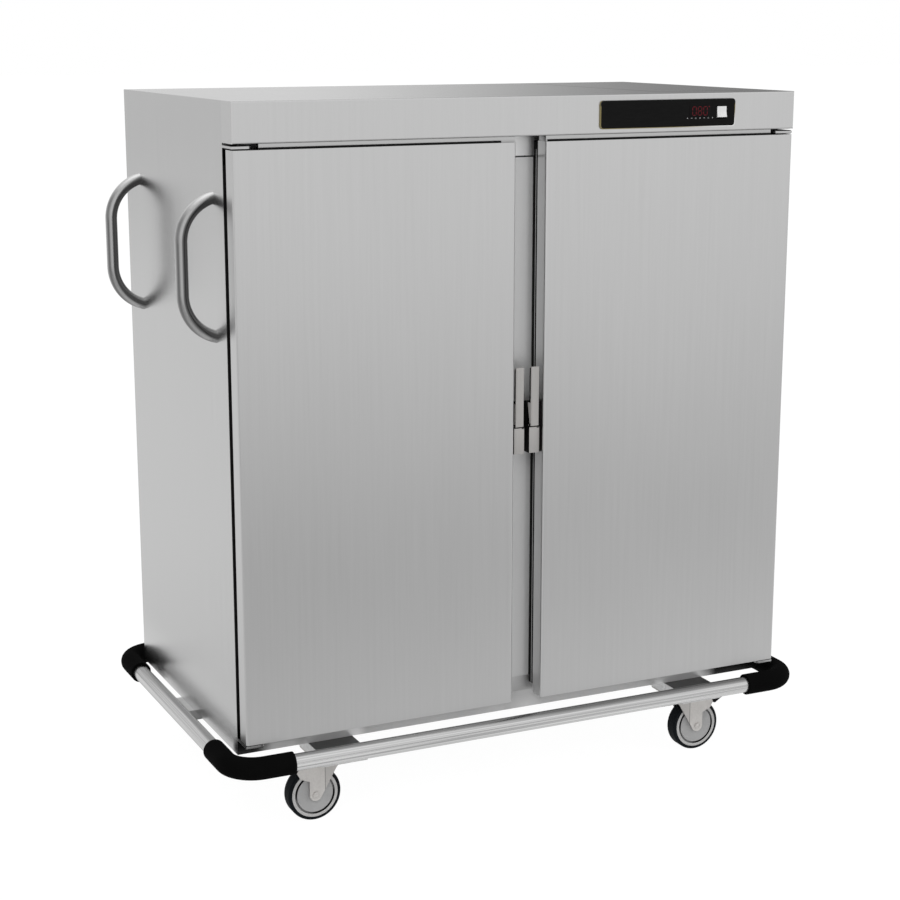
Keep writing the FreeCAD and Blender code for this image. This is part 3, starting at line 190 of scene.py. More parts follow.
# Latches: the axle's end is placed from the cover's right edge and top
LATCH_X = 0.019
COVER_HALF_WIDTH = 0.0125
COVER_SHEET = 0.0008
COVER_DROP = 0.0010
AXLE_END_X = (0.0065, 0.0005)
AXLE_END_Z = (0.0022, 0.0002)
AXLE_END_THICKNESS = 0.0010
GRIP_SETBACK = 0.0035
GRIP_DEPTH = 0.0085
GRIP_SIDE = 0.0030
GRIP_END = 0.0035
GRIP_EASE = 0.0015
STRIKE_FRONT = 0.003
STRIKE_SCREW_Z = (0.012, 0.040)
STRIKE_SCREW_RADIUS = 0.0035

# Upper edges of the doors: ends from the middle of the cart, the rest from the skin's front and top
TRIM_END = 0.622
STRIP_START = {"left": 0.072, "right": 0.041}
STRIP_Y = (0.0020, 0.0042)
STRIP_HEIGHT = 0.0046
LIP_START = 0.0375
LIP_BACK = 0.0060
LIP_SHEET = 0.0015
LIP_HEIGHT = 0.0127
LIP_RETURN = 0.0310
GASKET_CORNER_X = (0.0385, 0.0510)
GASKET_CORNER_GAP = 0.0005
GASKET_CORNER_EASE = 0.0008

# Screws in the door liners
LINER_SCREW_SIDE = 0.055
LINER_SCREW_END = 0.06
LINER_SCREW_ROWS = 5

# Hinge side of the doors: the black strip that stands in for the shaded gap has its ends measured from
# the lower and upper hinge plates
FRAME_GAP_SHADE_X = (0.657, 0.6795)
FRAME_GAP_SHADE_DEPTH = 0.0022
FRAME_GAP_SHADE_LOW = 0.036
FRAME_GAP_SHADE_HIGH = 0.041
HINGE_AXIS_X = 0.656
HINGE_PLATE = 0.0050
SHIM_SHEET = 0.0014
SHIM_X = (0.640, 0.678)
SHIM_FRONT = 0.001
SHIM_BACK = 0.004
CAP_RADIUS = 0.0085
CAP_RIM = 0.0012
CAP_DOME = 0.0018
LEG_FRONT = 0.003
LEG_SCREW_X = 0.669
LEG_SCREW_Z = (0.013, 0.029)

# Casters
SWIVEL_X = 0.462
AXLE_X = 0.502
AXLE_Z = 0.0625
GROOVE_INNER = 0.0430
GROOVE_OUTER = 0.0475
GROOVE_SPREAD = 0.0002
FORK_CREASE = 0.018
AXLE_RIM_RADIUS = 0.0062
AXLE_RIM_WIRE = 0.0007
AXLE_DOME_RADIUS = 0.0040
AXLE_DOME_HEIGHT = 0.0012
RACE_RADIUS = 0.0332
RACE_WIRE = 0.0022
RACE_Z = (0.0040, 0.0100)

# Brake pedals, from the swivel axis
PEDAL_KNEE = Vector((0.095, 0.0, 0.115))
PEDAL_TREAD = Vector((0.038, 0.0, 0.024))
PEDAL_HALF_THICKNESS = 0.004
RIDGE_HALF = Vector((0.0012, 0.0130, 0.0010))
RIDGE_COUNT = 5
RIDGE_START = 0.014
RIDGE_PITCH = 0.0062

# Back
BACK_SCREW_SIDE = 0.02
BACK_SCREW_END = 0.018
BACK_SCREW_SPACES = 6
VENT_COUNT = 9
VENT_FIRST_X = 0.1185
VENT_PITCH = 0.018
HOOD_HALF_SHEET = 0.0006
HOOD_HALF_HEIGHT = 0.024
HOOD_ROOT = 0.0010
HOOD_REACH = 0.0060
HOOD_LEAN = -35
PLATE_MIDDLE = (-0.30, 1.36)
PLATE_HALF = (0.05, 0.03)
PLATE_SHEET = 0.0008
RIVET_MARGIN = 0.005
RIVET_RADIUS = 0.0022
RIVET_HEIGHT = 0.0010
INLET_DEPTH = 0.024
BLADES = ((-0.012, 0.003), (0.0, -0.003), (0.012, 0.003))
BLADE_HALF_WIDTH = 0.0012
BLADE_HALF_HEIGHT = 0.0032
BLADE_Y = (0.001, 0.0184)
INLET_SCREW_X = 0.0255
INLET_SCREW_RADIUS = 0.0028

# Fan guard
GUARD_RINGS = (0.018, 0.036, 0.054, 0.074)
GUARD_WIRE = 0.0015
GUARD_BAR_HALF = Vector((0.078, 0.0014, 0.0014))


class Socket:
    """A shader value that can be used in sums."""

    def __init__(self, tree, output):
        self.tree = tree
        self.output = output

    def __add__(self, other):
        return self.tree.maths("ADD", self, other)

    def __radd__(self, other):
        return self.tree.maths("ADD", other, self)

    def __sub__(self, other):
        return self.tree.maths("SUBTRACT", self, other)

    def __rsub__(self, other):
        return self.tree.maths("SUBTRACT", other, self)

    def __mul__(self, other):
        return self.tree.maths("MULTIPLY", self, other)

    def __rmul__(self, other):
        return self.tree.maths("MULTIPLY", other, self)

    def __pow__(self, other):
        return self.tree.maths("POWER", self, other)

    def __gt__(self, other):
        return self.tree.maths("GREATER_THAN", self, other)

    def __lt__(self, other):
        return self.tree.maths("LESS_THAN", self, other)

    def __abs__(self):
        return self.tree.node("ShaderNodeMath", {"operation": "ABSOLUTE"}, {0: self})


class Tree:
    """Shader nodes, made from plain values and sockets."""

    def __init__(self, node_tree):
        self.nodes = node_tree.nodes
        self.links = node_tree.links

    def feed(self, socket, value):
        """Links a socket or sets its plain value."""
        if isinstance(value, Socket):
            self.links.new(value.output, socket)
        else:
            socket.default_value = value

    def node(self, kind, settings=None, inputs=None, output=0):
        """Any node: its settings first, then the values or links of its sockets."""
        made = self.nodes.new(kind)
        for key, value in (settings or {}).items():
            setattr(made, key, value)
        for key, value in (inputs or {}).items():
            self.feed(made.inputs[key], value)
        return Socket(self, made.outputs[output])

    def maths(self, operation, first, second):
        return self.node("ShaderNodeMath", {"operation": operation}, {0: first, 1: second})

    def split(self, vector):
        """The three parts of a vector."""
        parts = self.nodes.new("ShaderNodeSeparateXYZ")
        self.feed(parts.inputs[0], vector)
        return [Socket(self, out) for out in parts.outputs]

    def clamp(self, value):
        return self.node("ShaderNodeMath", {"operation": "ADD", "use_clamp": True}, {0: value, 1: 0.0})

    def ramp(self, value, low, high, start=0.0, end=1.0):
        """Smooth change from a start at one value to an end at another."""
        inputs = {"Value": value, "From Min": low, "From Max": high, "To Min": start, "To Max": end}
        return self.node("ShaderNodeMapRange", {"interpolation_type": "SMOOTHSTEP"}, inputs)

    def band(self, value, low, high):
        """1 where a value lies between two limits."""
        return (value > low) * (value < high)

    def blend(self, factor, first, second):
        """Blend of two values."""
        return self.node("ShaderNodeMix", None, {0: factor, 2: first, 3: second})

    def mix(self, factor, first, second):
        """Blend of two colours."""
        inputs = {0: factor, 6: first, 7: second}
        return self.node("ShaderNodeMix", {"data_type": "RGBA"}, inputs, output=2)

    def rays(self, *kinds):
        """1 for any of the named kinds of ray."""
        found = self.node("ShaderNodeLightPath", output=kinds[0])
        for kind in kinds[1:]:
            found = self.maths("MAXIMUM", found, self.node("ShaderNodeLightPath", output=kind))
        return found


class Finish(Tree):
    """A material on the piece's own coordinates."""

    def __init__(self, name, constants):
        self.material = bpy.data.materials.new(name)
        self.material.use_nodes = True
        super().__init__(self.material.node_tree)
        self.shader = self.nodes["Principled BSDF"]
        for key, value in constants.items():
            self.shader.inputs[key].default_value = value
        self.place = self.node("ShaderNodeTexCoord", output="Object")
        self.x, self.y, self.z = self.split(self.place)

    def facing(self):
        """The three parts of the surface's direction."""
        return self.split(self.node("ShaderNodeNewGeometry", output="Normal"))

    def noise(self, x, y, z, detail=2.0):
        """Noise with that many features to the metre along each axis."""
        inputs = {0: self.place, 1: (x, y, z)}
        place = self.node("ShaderNodeVectorMath", {"operation": "MULTIPLY"}, inputs)
        return self.node("ShaderNodeTexNoise", None, {"Vector": place, "Scale": 1.0, "Detail": detail})

    def even_noise(self, scale, detail=2.0):
        """Noise with as many features along every axis."""
        return self.noise(scale, scale, scale, detail)

    def streaks(self, axis):
        """Streaks of a brushed sheet along one axis."""
        fine = self.noise(*[9.0 if name == axis else 950.0 for name in "xyz"])
        coarse = self.noise(*[2.5 if name == axis else 120.0 for name in "xyz"], detail=1.0)
        return fine * 0.5 + coarse * 0.5

    def clouding(self):
        """Broad faint clouding of a sheet."""
        return self.even_noise(2.2)

    def tone(self, streak, cloud):
        """Place between the darkest and the palest streaks of a sheet."""
        return self.clamp(streak * 0.8 + cloud * 0.35 - 0.08)

    def satin(self, axis, rough):
        """Relief and roughness of a sheet brushed along one axis, and the tone for its colour."""
        streak = self.streaks(axis)
        cloud = self.clouding()
        self.roughness(rough - 0.04 + streak * 0.05 + cloud * 0.05)
        self.bump(streak, GRAIN_DEPTH, GRAIN_STRENGTH)
        return self.tone(streak, cloud)

    def sheet(self, tone, level, gain=1.0, contrast=SHEET_CONTRAST):
        """Grey of a sheet, a little darker and paler along its streaks."""
        return self.mix(tone, grey(level * (gain - contrast)), grey(level * (gain + contrast)))

    def cells(self, scale, output):
        """Cell pattern with that many cells to the metre."""
        return self.node("ShaderNodeTexVoronoi", None, {"Vector": self.place, "Scale": scale}, output)

    def spangle(self, scale):
        """Level of each crystal in a zinc coat."""
        return self.node("ShaderNodeSeparateColor", None, {0: self.cells(scale, "Color")})

    def bump(self, height, distance, strength=1.0):
        """Relief in metres from a height between 0 and 1."""
        inputs = {"Height": height, "Distance": distance, "Strength": strength}
        self.feed(self.shader.inputs["Normal"], self.node("ShaderNodeBump", None, inputs))

    def colour(self, value):
        self.feed(self.shader.inputs["Base Color"], value)

    def roughness(self, value):
        self.feed(self.shader.inputs["Roughness"], value)


def grey(level, warmth=0.0):
    """Neutral colour, a little warmer or cooler."""
    return (level * (1 + warmth), level, level * (1 - warmth), 1.0)


def brushed_steel(name, level, rough, contrast=SHEET_CONTRAST):
    """Satin sheet with a level grain and faint clouding."""
    f = Finish(name, {"Metallic": 1.0})
    f.colour(f.sheet(f.satin("x", rough), level, contrast=contrast))
    return f.material


def door_steel(level, rough):
    """Satin door sheet with an upright grain and a painted highlight on its edge in the middle of the
    cart.
    """
    f = Finish("door_steel", {"Metallic": 1.0})
    tone = f.satin("z", rough)
    # Painted highlight on the edges in the middle of the cart, stronger on the right door.
    edge = f.mix(f.x < 0.0, f.sheet(tone, level, 1.10), f.sheet(tone, level, 1.33))
    f.colour(f.mix(f.ramp(abs(f.x), *DOOR_EDGE_X), f.sheet(tone, level), edge))
    return f.material


def frame_steel(level, rough):
    """Satin rails round the mouth, with painted light on the top rail over the post in the middle."""
    f = Finish("frame_steel", {"Metallic": 1.0})
    tone = f.satin("x", rough)
    # Painted light on the top rail over the post.
    head = f.ramp(abs(f.x), *FRAME_HEAD_X) * (f.z > FRAME_MIDDLE_Z)
    f.colour(f.mix(head, f.sheet(tone, level), f.sheet(tone, level, 1.27)))
    return f.material


def side_steel(level, rough):
    """Side and back sheets: a painted pale reflection low down, paler at the fascia's end, and a
    painted black reflection of the rubber corner at the front foot.
    """
    f = Finish("side_steel", {"Metallic": 1.0})
    tone = f.satin("z", rough)
    # Painted reflection: the sheet is paler low down.
    panel = f.mix(f.ramp(f.z, *SIDE_PAINTED_SHEEN_Z), f.sheet(tone, level), f.sheet(tone, level, 1.19))
    side = f.mix(f.y < FASCIA_BACK, panel, f.sheet(tone, level, 1.05))
    # Painted reflection of the black rubber corner at the front foot.
    foot = f.ramp(f.z, *SIDE_FOOT_Z) * f.ramp(f.y, *SIDE_FOOT_Y)
    f.colour(f.mix(foot, side, grey(0.03)))
    return f.material


def base_steel(level, rough):
    """Satin base skirt with painted light over the beams and a painted black reflection of the rubber
    corners at its ends.
    """
    f = Finish("base_steel", {"Metallic": 0.25})
    streak = f.streaks("x")
    cloud = f.clouding()
    skirt = f.sheet(f.tone(streak, cloud), level)
    # Painted light over the beams, and a painted black reflection of the rubber corners at the ends.
    over_beam = f.ramp(abs(f.x), *BEAM_INNER_X) * f.ramp(abs(f.x), *BEAM_OUTER_X)
    ends = f.clamp(f.ramp(f.x, *BASE_RIGHT_END_X) + f.ramp(f.x, *BASE_LEFT_END_X))
    f.colour(f.mix(ends, f.mix(over_beam, skirt, grey(0.95)), grey(0.004)))
    f.roughness(rough + cloud * 0.05)
    f.bump(streak, GRAIN_DEPTH, GRAIN_STRENGTH)
    return f.material


def mullion_steel():
    """Satin post between the doors, dark at the seam on its top, with a painted shadow beside each
    gasket.
    """
    f = Finish("mullion_steel", {"Metallic": 0.6})
    streak = f.streaks("z")
    post = f.mix(f.tone(streak, f.clouding()), grey(0.60), grey(0.67))
    seam = f.ramp(f.z, *MULLION_SEAM_Z)
    # Painted shadow on the post beside each gasket.
    painted_gasket_shadow = f.band(abs(f.x), *MULLION_GASKET_SHADOW_X)
    f.colour(f.mix(f.clamp(seam + painted_gasket_shadow), post, grey(0.05)))
    f.roughness(0.34 + streak * 0.06)
    f.bump(streak, GRAIN_DEPTH, GRAIN_STRENGTH)
    return f.material


def hinge_steel():
    """Bright hinge plates; the legs behind the doors are painted black as the shade in the gap."""
    f = Finish("hinge_steel", {"Metallic": 1.0})
    streak = f.streaks("x")
    # The legs are painted black as the shade in the gap behind the doors.
    leg = f.band(f.z, *HINGE_LEGS_Z)
    plate = f.mix(streak, grey(0.48), grey(0.62))
    f.colour(f.mix(leg, plate, f.mix(f.clouding(), grey(0.004), grey(0.008))))
    f.roughness(0.26 + streak * 0.08 + leg * 0.3)
    f.bump(streak, GRAIN_DEPTH, 0.2)
    return f.material


def latch_metal():
    """Die-cast latch with a warm satin plating and painted light on its sides."""
    f = Finish("latch_metal", {"Metallic": 0.35, "Specular IOR Level": 0.4})
    streak = f.streaks("z")
    # Painted light: the sides are paler than the front.
    sideways = abs(f.facing()[0]) > 0.7
    tone = f.clamp(streak * 0.7 + f.clouding() * 0.4 - 0.05)
    front = f.mix(tone, grey(0.29, 0.03), grey(0.37, 0.025))
    f.colour(f.mix(sideways, front, f.mix(tone, grey(0.5, 0.03), grey(0.6, 0.025))))
    f.roughness(0.38 + streak * 0.08)
    f.bump(streak, GRAIN_DEPTH, GRAIN_STRENGTH)
    return f.material


def top_steel(level, rough):
    """Sheet of the top and fascia: smoother on its upper face, which has the seam of a service lid
    with a painted shadow beside it.
    """
    f = Finish("top_steel", {"Metallic": 1.0})
    cloud = f.clouding()
    upper = f.facing()[2] > 0.5
    streak = f.streaks("z") * (1.0 - upper) + f.streaks("x") * upper
    inside = f.maths("MINIMUM", f.x - LID_LEFT, f.y - LID_FRONT)
    seam = f.band(inside, 0.0, LID_SEAM) * upper
    # Painted shadow fading out beside the lid's seam.
    shade = f.ramp(inside, -LID_SHADE, 0.0) * (inside < LID_SEAM) * upper
    cover = f.sheet(f.tone(streak, cloud), level)
    f.colour(f.mix(seam, f.mix(shade, cover, grey(0.38)), grey(0.16)))
    f.roughness(rough - 0.04 + streak * 0.05 + cloud * 0.05 - upper * 0.12)
    f.bump(streak, GRAIN_DEPTH, GRAIN_STRENGTH)
    return f.material


def handle_steel():
    """Polished tube with painted reflections: pale to the left, a dark streak towards the panel and
    bright upper bends.
    """
    f = Finish("handle_steel", {"Metallic": 1.0})
    lines = f.noise(700.0, 700.0, 6.0, detail=3.0)
    facing_x, facing_y, facing_z = f.facing()
    across = facing_x * HANDLE_ACROSS_X + facing_y * HANDLE_ACROSS_Y
    # Painted reflections: levels across the tube, and a painted highlight on the upper bends.
    left_edge = f.ramp(across, -0.45, -1.0)
    middle = f.ramp(across, -0.40, 0.06) * f.ramp(across, 0.44, 0.16)
    right_edge = f.ramp(across, 0.72, 1.0)
    shaded = f.ramp(across, 0.20, 0.44)
    level = 0.20 + left_edge * 0.32 + middle * 0.24 - shaded * 0.10 + right_edge * 0.10
    level = level + f.ramp(facing_z, 0.30, 0.85) * 0.55 + f.band(across, 0.66, 0.78) * 0.05
    tone = f.clamp(level * (0.75 + lines * 0.5))
    f.colour(f.mix(tone, grey(0.0), grey(1.0)))
    f.roughness(0.14 + lines * 0.10)
    f.bump(lines, 0.00015, 0.3)
    return f.material


def aluminium_tube():
    """Drawn tube with fine lines along it; the front one has painted reflection bands: darker on top,
    most so to the right, and paler lower down.
    """
    f = Finish("drawn_aluminium", {"Metallic": 1.0})
    low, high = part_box("bumper_tubes_long")
    height = (f.z - (low.z + high.z) / 2) * (2 / (high.z - low.z))
    front = f.y < TUBE_FRONT_Y
    right = f.ramp(f.x, *TUBE_RIGHT_X)
    # Painted reflection bands on the front tube.
    painted_dark_top = f.ramp(height, 0.52, 0.80) * (0.06 + right * 0.56)
    middle = f.ramp(height, 0.60, 0.40) * f.ramp(height, 0.05, 0.25) * (right * 0.38 - 0.18)
    lower = f.ramp(height, 0.25, 0.05) * f.ramp(height, -0.60, -0.25) * (right * 0.08 + 0.26)
    gain = 1.0 + front * (middle + lower - painted_dark_top)
    lines = f.noise(1.5, 1.5, 520.0)
    wide = f.noise(0.8, 0.8, 230.0, detail=1.0)
    tone = f.clamp((lines - 0.5) * 2.4 + (wide - 0.5) * 3.2 + 0.5)
    f.colour(f.mix((0.40 + tone * 0.32) * gain, grey(0.0), grey(1.0)))
    f.roughness(0.20 + lines * 0.12)
    f.bump(wide, 0.0003, 0.5)
    return f.material


def soft_black(name, level, rough, specular, grain=900.0, tint=0.0):
    """Dark moulded rubber or plastic with a fine skin texture and dusty high spots."""
    f = Finish(name, {"Specular IOR Level": specular})
    skin = f.even_noise(grain)
    dust = f.even_noise(14.0, detail=4.0)
    f.colour(f.mix(dust, grey(level * 0.75, tint), grey(level * 1.5, tint)))
    f.roughness(rough - 0.08 + skin * 0.16)
    f.bump(skin, 0.0001, 0.4)
    return f.material


def moulded(name, level, rough):
    """Pale moulded plastic with slight mottling."""
    f = Finish(name, {"Specular IOR Level": 0.35})
    mottle = f.even_noise(60.0, detail=4.0)
    f.colour(f.mix(mottle, grey(level * 0.9), grey(level * 1.08)))
    f.roughness(rough - 0.08 + mottle * 0.16)
    f.bump(f.even_noise(1400.0), 0.00006, 0.4)
    return f.material


def wheel_grey():
    """Moulded wheel: a pale rim, a ring groove with painted shade, dark on two opposite arcs and paler
    on the others, and a slightly darker disc.
    """
    f = Finish("wheel_grey", {"Specular IOR Level": 0.3})
    mottle = f.even_noise(60.0, detail=4.0)
    across = abs(f.x) - AXLE_X
    up = f.z - AXLE_Z
    radius = (across * across + up * up) ** 0.5
    disc = f.mix(mottle, grey(0.33), grey(0.39))
    rim = f.mix(mottle, grey(0.40, 0.01), grey(0.50, 0.01))
    face = f.mix(radius > GROOVE_OUTER, disc, rim)
    # Painted shade in the groove: dark on its upper left and lower right arcs, paler on the others.
    side = (f.x > 0.0) * 2.0 - 1.0
    wear_and_painted_shade = f.ramp(across * side * up, -0.0002, 0.0007)
    groove = f.band(radius, GROOVE_INNER - GROOVE_SPREAD, GROOVE_OUTER + GROOVE_SPREAD)
    f.colour(f.mix(groove, face, f.mix(wear_and_painted_shade, grey(0.015), grey(0.28))))
    f.roughness(0.42 + mottle * 0.16)
    f.bump(mottle, 0.0002, 0.2)
    return f.material


def zinc_plate():
    """Bright zinc on pressed steel: pale, a little warm, with a fine spangle and a pressed crease,
    with painted shade in the crease and on the flank inside it.
    """
    f = Finish("zinc_plate", {"Metallic": 0.45, "Specular IOR Level": 0.4})
    level = f.spangle(420.0)
    cloud = f.even_noise(35.0, detail=3.0)
    across = abs(f.x) - SWIVEL_X
    # Painted shade: a dark line in the crease and a darker flank on its inner side.
    crease = f.band(across, FORK_CREASE - 0.0013, FORK_CREASE + 0.0005)
    plain = f.mix(level * 0.5 + cloud * 0.5, grey(0.50, 0.035), grey(0.62, 0.03))
    shaded = f.mix(across < FORK_CREASE, plain, grey(0.48, 0.03))
    f.colour(f.mix(crease, shaded, grey(0.26, 0.03)))
    f.roughness(0.36 + level * 0.08 + cloud * 0.10)
    f.bump(cloud, 0.0001, 0.3)
    return f.material


def chassis_steel():
    """Galvanised beams with painted shade on their upper faces, and side arms with painted shade on
    their sides.
    """
    f = Finish("chassis_steel", {"Metallic": 0.7})
    level = f.spangle(160.0)
    cloud = f.even_noise(18.0, detail=4.0)
    upper = f.facing()[2] > 0.5
    unshaded_zinc = f.mix(level, grey(0.60), grey(0.72))
    # Painted shade: dark on the beams' upper faces and grey on the arms' sides.
    painted_beam_shade = f.mix(cloud, grey(0.070), grey(0.150))
    shaded = f.mix(level, grey(0.24), grey(0.32))
    beam = f.mix(upper, unshaded_zinc, painted_beam_shade)
    arm = f.mix(upper, shaded, unshaded_zinc)
    f.colour(f.mix(abs(f.x) > SIDE_ARM_X, beam, arm))
    f.roughness(0.34 + cloud * 0.2)
    f.bump(cloud, 0.0002, 0.3)
    return f.material


def gasket_rubber():
    """Black bellows strip; where it meets the other door a paler ridge runs along its middle."""
    f = Finish("gasket_rubber", {"Specular IOR Level": 0.15})
    skin = f.even_noise(800.0)
    ridge = f.band(f.y, *GASKET_RIDGE_Y) * (abs(f.x) < GASKET_RIDGE_X) * (f.z < GASKET_RIDGE_TOP)
    f.colour(f.mix(ridge, grey(0.003), f.mix(skin, grey(0.30), grey(0.38))))
    f.roughness(0.7 + skin * 0.2)
    f.bump(skin, 0.0001, 0.4)
    return f.material


def foam():
    """Cut polyurethane foam with open cells."""
    f = Finish("foam", {"Specular IOR Level": 0.1})
    cells = f.cells(700.0, "Distance")
    f.colour(f.mix(cells, (0.72, 0.62, 0.36, 1.0), (0.86, 0.78, 0.52, 1.0)))
    f.roughness(0.8 + cells * 0.2)
    f.bump(cells, 0.0008, 0.6)
    return f.material


def gloss_black():
    """Printed polycarbonate: deep black with a faint haze of fine scratches and a brassy left edge."""
    f = Finish("gloss_black", {"Specular IOR Level": 0.048})
    haze = f.noise(40.0, 40.0, 300.0, detail=3.0)
    brassy = f.mix(haze, (0.16, 0.13, 0.05, 1.0), (0.26, 0.22, 0.10, 1.0))
    left_edge = (f.facing()[0] < -0.4) * (f.x < PANEL_EDGE_X)
    f.colour(f.mix(left_edge, f.mix(haze, grey(0.003), grey(0.007)), brassy))
    f.roughness(0.14 + haze * 0.14)
    return f.material


def element_sheath():
    """Heating tube browned by heat."""
    f = Finish("element_sheath", {"Metallic": 0.9})
    scale = f.even_noise(60.0, detail=4.0)
    f.colour(f.mix(scale, (0.10, 0.075, 0.055, 1.0), (0.32, 0.27, 0.22, 1.0)))
    f.roughness(0.35 + scale * 0.25)
    return f.material


def display_red():
    """Dim red light behind a smoked window, a little uneven along each bar."""
    f = Finish("display_red", {"Emission Strength": 0.06, "Specular IOR Level": 0.1})
    glow = f.even_noise(300.0)
    light = f.mix(glow, (0.05, 0.005, 0.008, 1.0), (0.13, 0.008, 0.012, 1.0))
    f.colour(light)
    f.feed(f.shader.inputs["Emission Color"], light)
    f.roughness(0.3 + glow * 0.2)
    return f.material


def bezel_metal():
    """Thin anodised rim: brassy, with a painted highlight along the bottom right and painted shade
    along the top.
    """
    f = Finish("bezel_metal", {"Metallic": 0.8})
    wear_and_painted_shade = f.even_noise(30.0, detail=3.0)
    brassy = f.mix(wear_and_painted_shade, (0.16, 0.13, 0.05, 1.0), (0.40, 0.34, 0.18, 1.0))
    # Painted highlight along the bottom right, and painted shade along the top.
    pale = f.ramp(f.x, *BEZEL_PALE_X) * f.ramp(f.z, *BEZEL_PALE_Z)
    dark = f.ramp(f.z, *BEZEL_DARK_Z)
    f.colour(f.mix(dark, f.mix(pale, brassy, grey(0.85)), grey(0.03)))
    f.roughness(0.25 + wear_and_painted_shade * 0.2)
    return f.material


finishes = {
    "door_steel": door_steel(0.60, 0.29),
    "side_steel": side_steel(0.58, 0.24),
    "top_steel": top_steel(0.60, 0.29),
    "base_steel": base_steel(0.55, 0.20),
    "frame_steel": frame_steel(0.58, 0.38),
    "mullion_steel": mullion_steel(),
    "liner_steel": brushed_steel("liner_steel", 0.60, 0.30),
    "handle_steel": handle_steel(),
    "fitting_steel": brushed_steel("fitting_steel", 0.50, 0.30, contrast=0.12),
    "latch_metal": latch_metal(),
    "hinge_steel": hinge_steel(),
    "aluminium": aluminium_tube(),
    "zinc": zinc_plate(),
    "chassis_steel": chassis_steel(),
    "bumper_rubber": soft_black("bumper_rubber", 0.0022, 0.8, 0.02),
    "tyre_rubber": soft_black("tyre_rubber", 0.006, 0.7, 0.10, 500.0, -0.25),
    "black_plastic": soft_black("black_plastic", 0.004, 0.55, 0.08),
    "motor_paint": soft_black("motor_paint", 0.03, 0.5, 0.35),
    "panel_black": gloss_black(),
    "white_plastic": moulded("white_plastic", 0.56, 0.35),
    "mark_grey": moulded("mark_grey", 0.30, 0.5),
    "wheel_grey": wheel_grey(),
    "gasket_rubber": gasket_rubber(),
    "foam": foam(),
    "element_sheath": element_sheath(),
    "display_red": display_red(),
    "bezel_metal": bezel_metal(),
}

# Slots and single pieces whose finish has another name than their slot
finish_of_slot = {"stainless": "door_steel", "stainless_inner": "liner_steel"}
finish_of_node = {
    "left_side_panel": "side_steel",
    "right_side_panel": "side_steel",
    "back_panel": "side_steel",
    "top_cover": "top_steel",
    "base_pan": "base_steel",
    "front_frame": "frame_steel",
    "centre_mullion": "mullion_steel",
}

for entry in frame["record"]["subparts"]:
    slot = entry["material_slot"]
    slot_finish = finish_of_slot.get(slot, slot)
    mesh = nodes[entry["node"]].data
    mesh.materials.clear()
    mesh.materials.append(finishes[finish_of_node.get(entry["node"], slot_finish)])


# Shapes that the small fittings are made of


def piece(name, bm, finish, body):
    """Closes a mesh into a named piece that moves with a body."""
    bmesh.ops.recalc_face_normals(bm, faces=bm.faces)
    mesh = bpy.data.meshes.new(name)
    bm.to_mesh(mesh)
    bm.free()
    mesh.shade_smooth()
    mesh.set_sharp_from_angle(angle=math.radians(SHARP_ANGLE))
    mesh.materials.append(finishes[finish])
    made = bpy.data.objects.new(name, mesh)
    scene.collection.objects.link(made)
    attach(made, body)


def span(sign, near, far):
    """Two distances from the cart's middle on one side of it, as left and right places."""
    return sorted((sign * near, sign * far))


def edges_of(verts):
    """Edges that meet at any of the points, each once and in order."""
    return list(dict.fromkeys(edge for vert in verts for edge in vert.link_edges))


def add_block(bm, low, high, ease=0.0, turn=None):
    """Box between two corners with eased edges, turned about its middle if asked."""
    low, high = Vector(low), Vector(high)
    place = Matrix.Translation((low + high) / 2)
    if turn:
        place = place @ turn
    made = bmesh.ops.create_cube(bm, size=1.0, matrix=place @ Matrix.Diagonal((*(high - low), 1.0)))
    if ease:
        edges = edges_of(made["verts"])
        bmesh.ops.bevel(
            bm, geom=edges, offset=ease, segments=2, profile=0.5, affect="EDGES", material=-1
        )


def add_disc(bm, seat, axis, radius, height, sides=20, top=1.0):
    """Plate with that many sides that stands on a point along an axis, narrower on top if asked."""
    turn = UP.rotation_difference(axis).to_matrix().to_4x4()
    place = Matrix.Translation(Vector(seat) + axis * (height / 2)) @ turn
    bmesh.ops.create_cone(
        bm,
        cap_ends=True,
        segments=sides,
        radius1=radius,
        radius2=radius * top,
        depth=height,
        matrix=place,
    )


def add_ring(bm, middle, axis, radius, wire, steps=36, sides=8):
    """Round wire bent into a ring about an axis."""
    turn = UP.rotation_difference(axis).to_matrix().to_4x4()
    place = Matrix.Translation(Vector(middle)) @ turn @ Matrix.Translation((radius, 0.0, 0.0))
    place = place @ Matrix.Rotation(math.radians(90), 4, "X")
    verts = bmesh.ops.create_circle(bm, segments=sides, radius=wire, matrix=place)["verts"]
    loop = verts + edges_of(verts)
    bmesh.ops.spin(bm, geom=loop, cent=middle, axis=axis, angle=math.tau, steps=steps, use_merge=True)


def add_screw(bm, seat, axis, radius=SCREW_RADIUS):
    """Pan head with a rounded top and a small hexagon socket rim."""
    seat = Vector(seat)
    add_disc(bm, seat, axis, radius, radius * SCREW_RIM, SCREW_SIDES)
    dome = seat + axis * (radius * SCREW_RIM)
    add_disc(bm, dome, axis, radius, radius * SCREW_DOME, SCREW_SIDES, SCREW_TOP)
    hexagon = seat + axis * (radius * HEX_SEAT)
    add_ring(bm, hexagon, axis, radius * HEX_RADIUS, radius * HEX_WIRE, 6, 5)


# Control panel


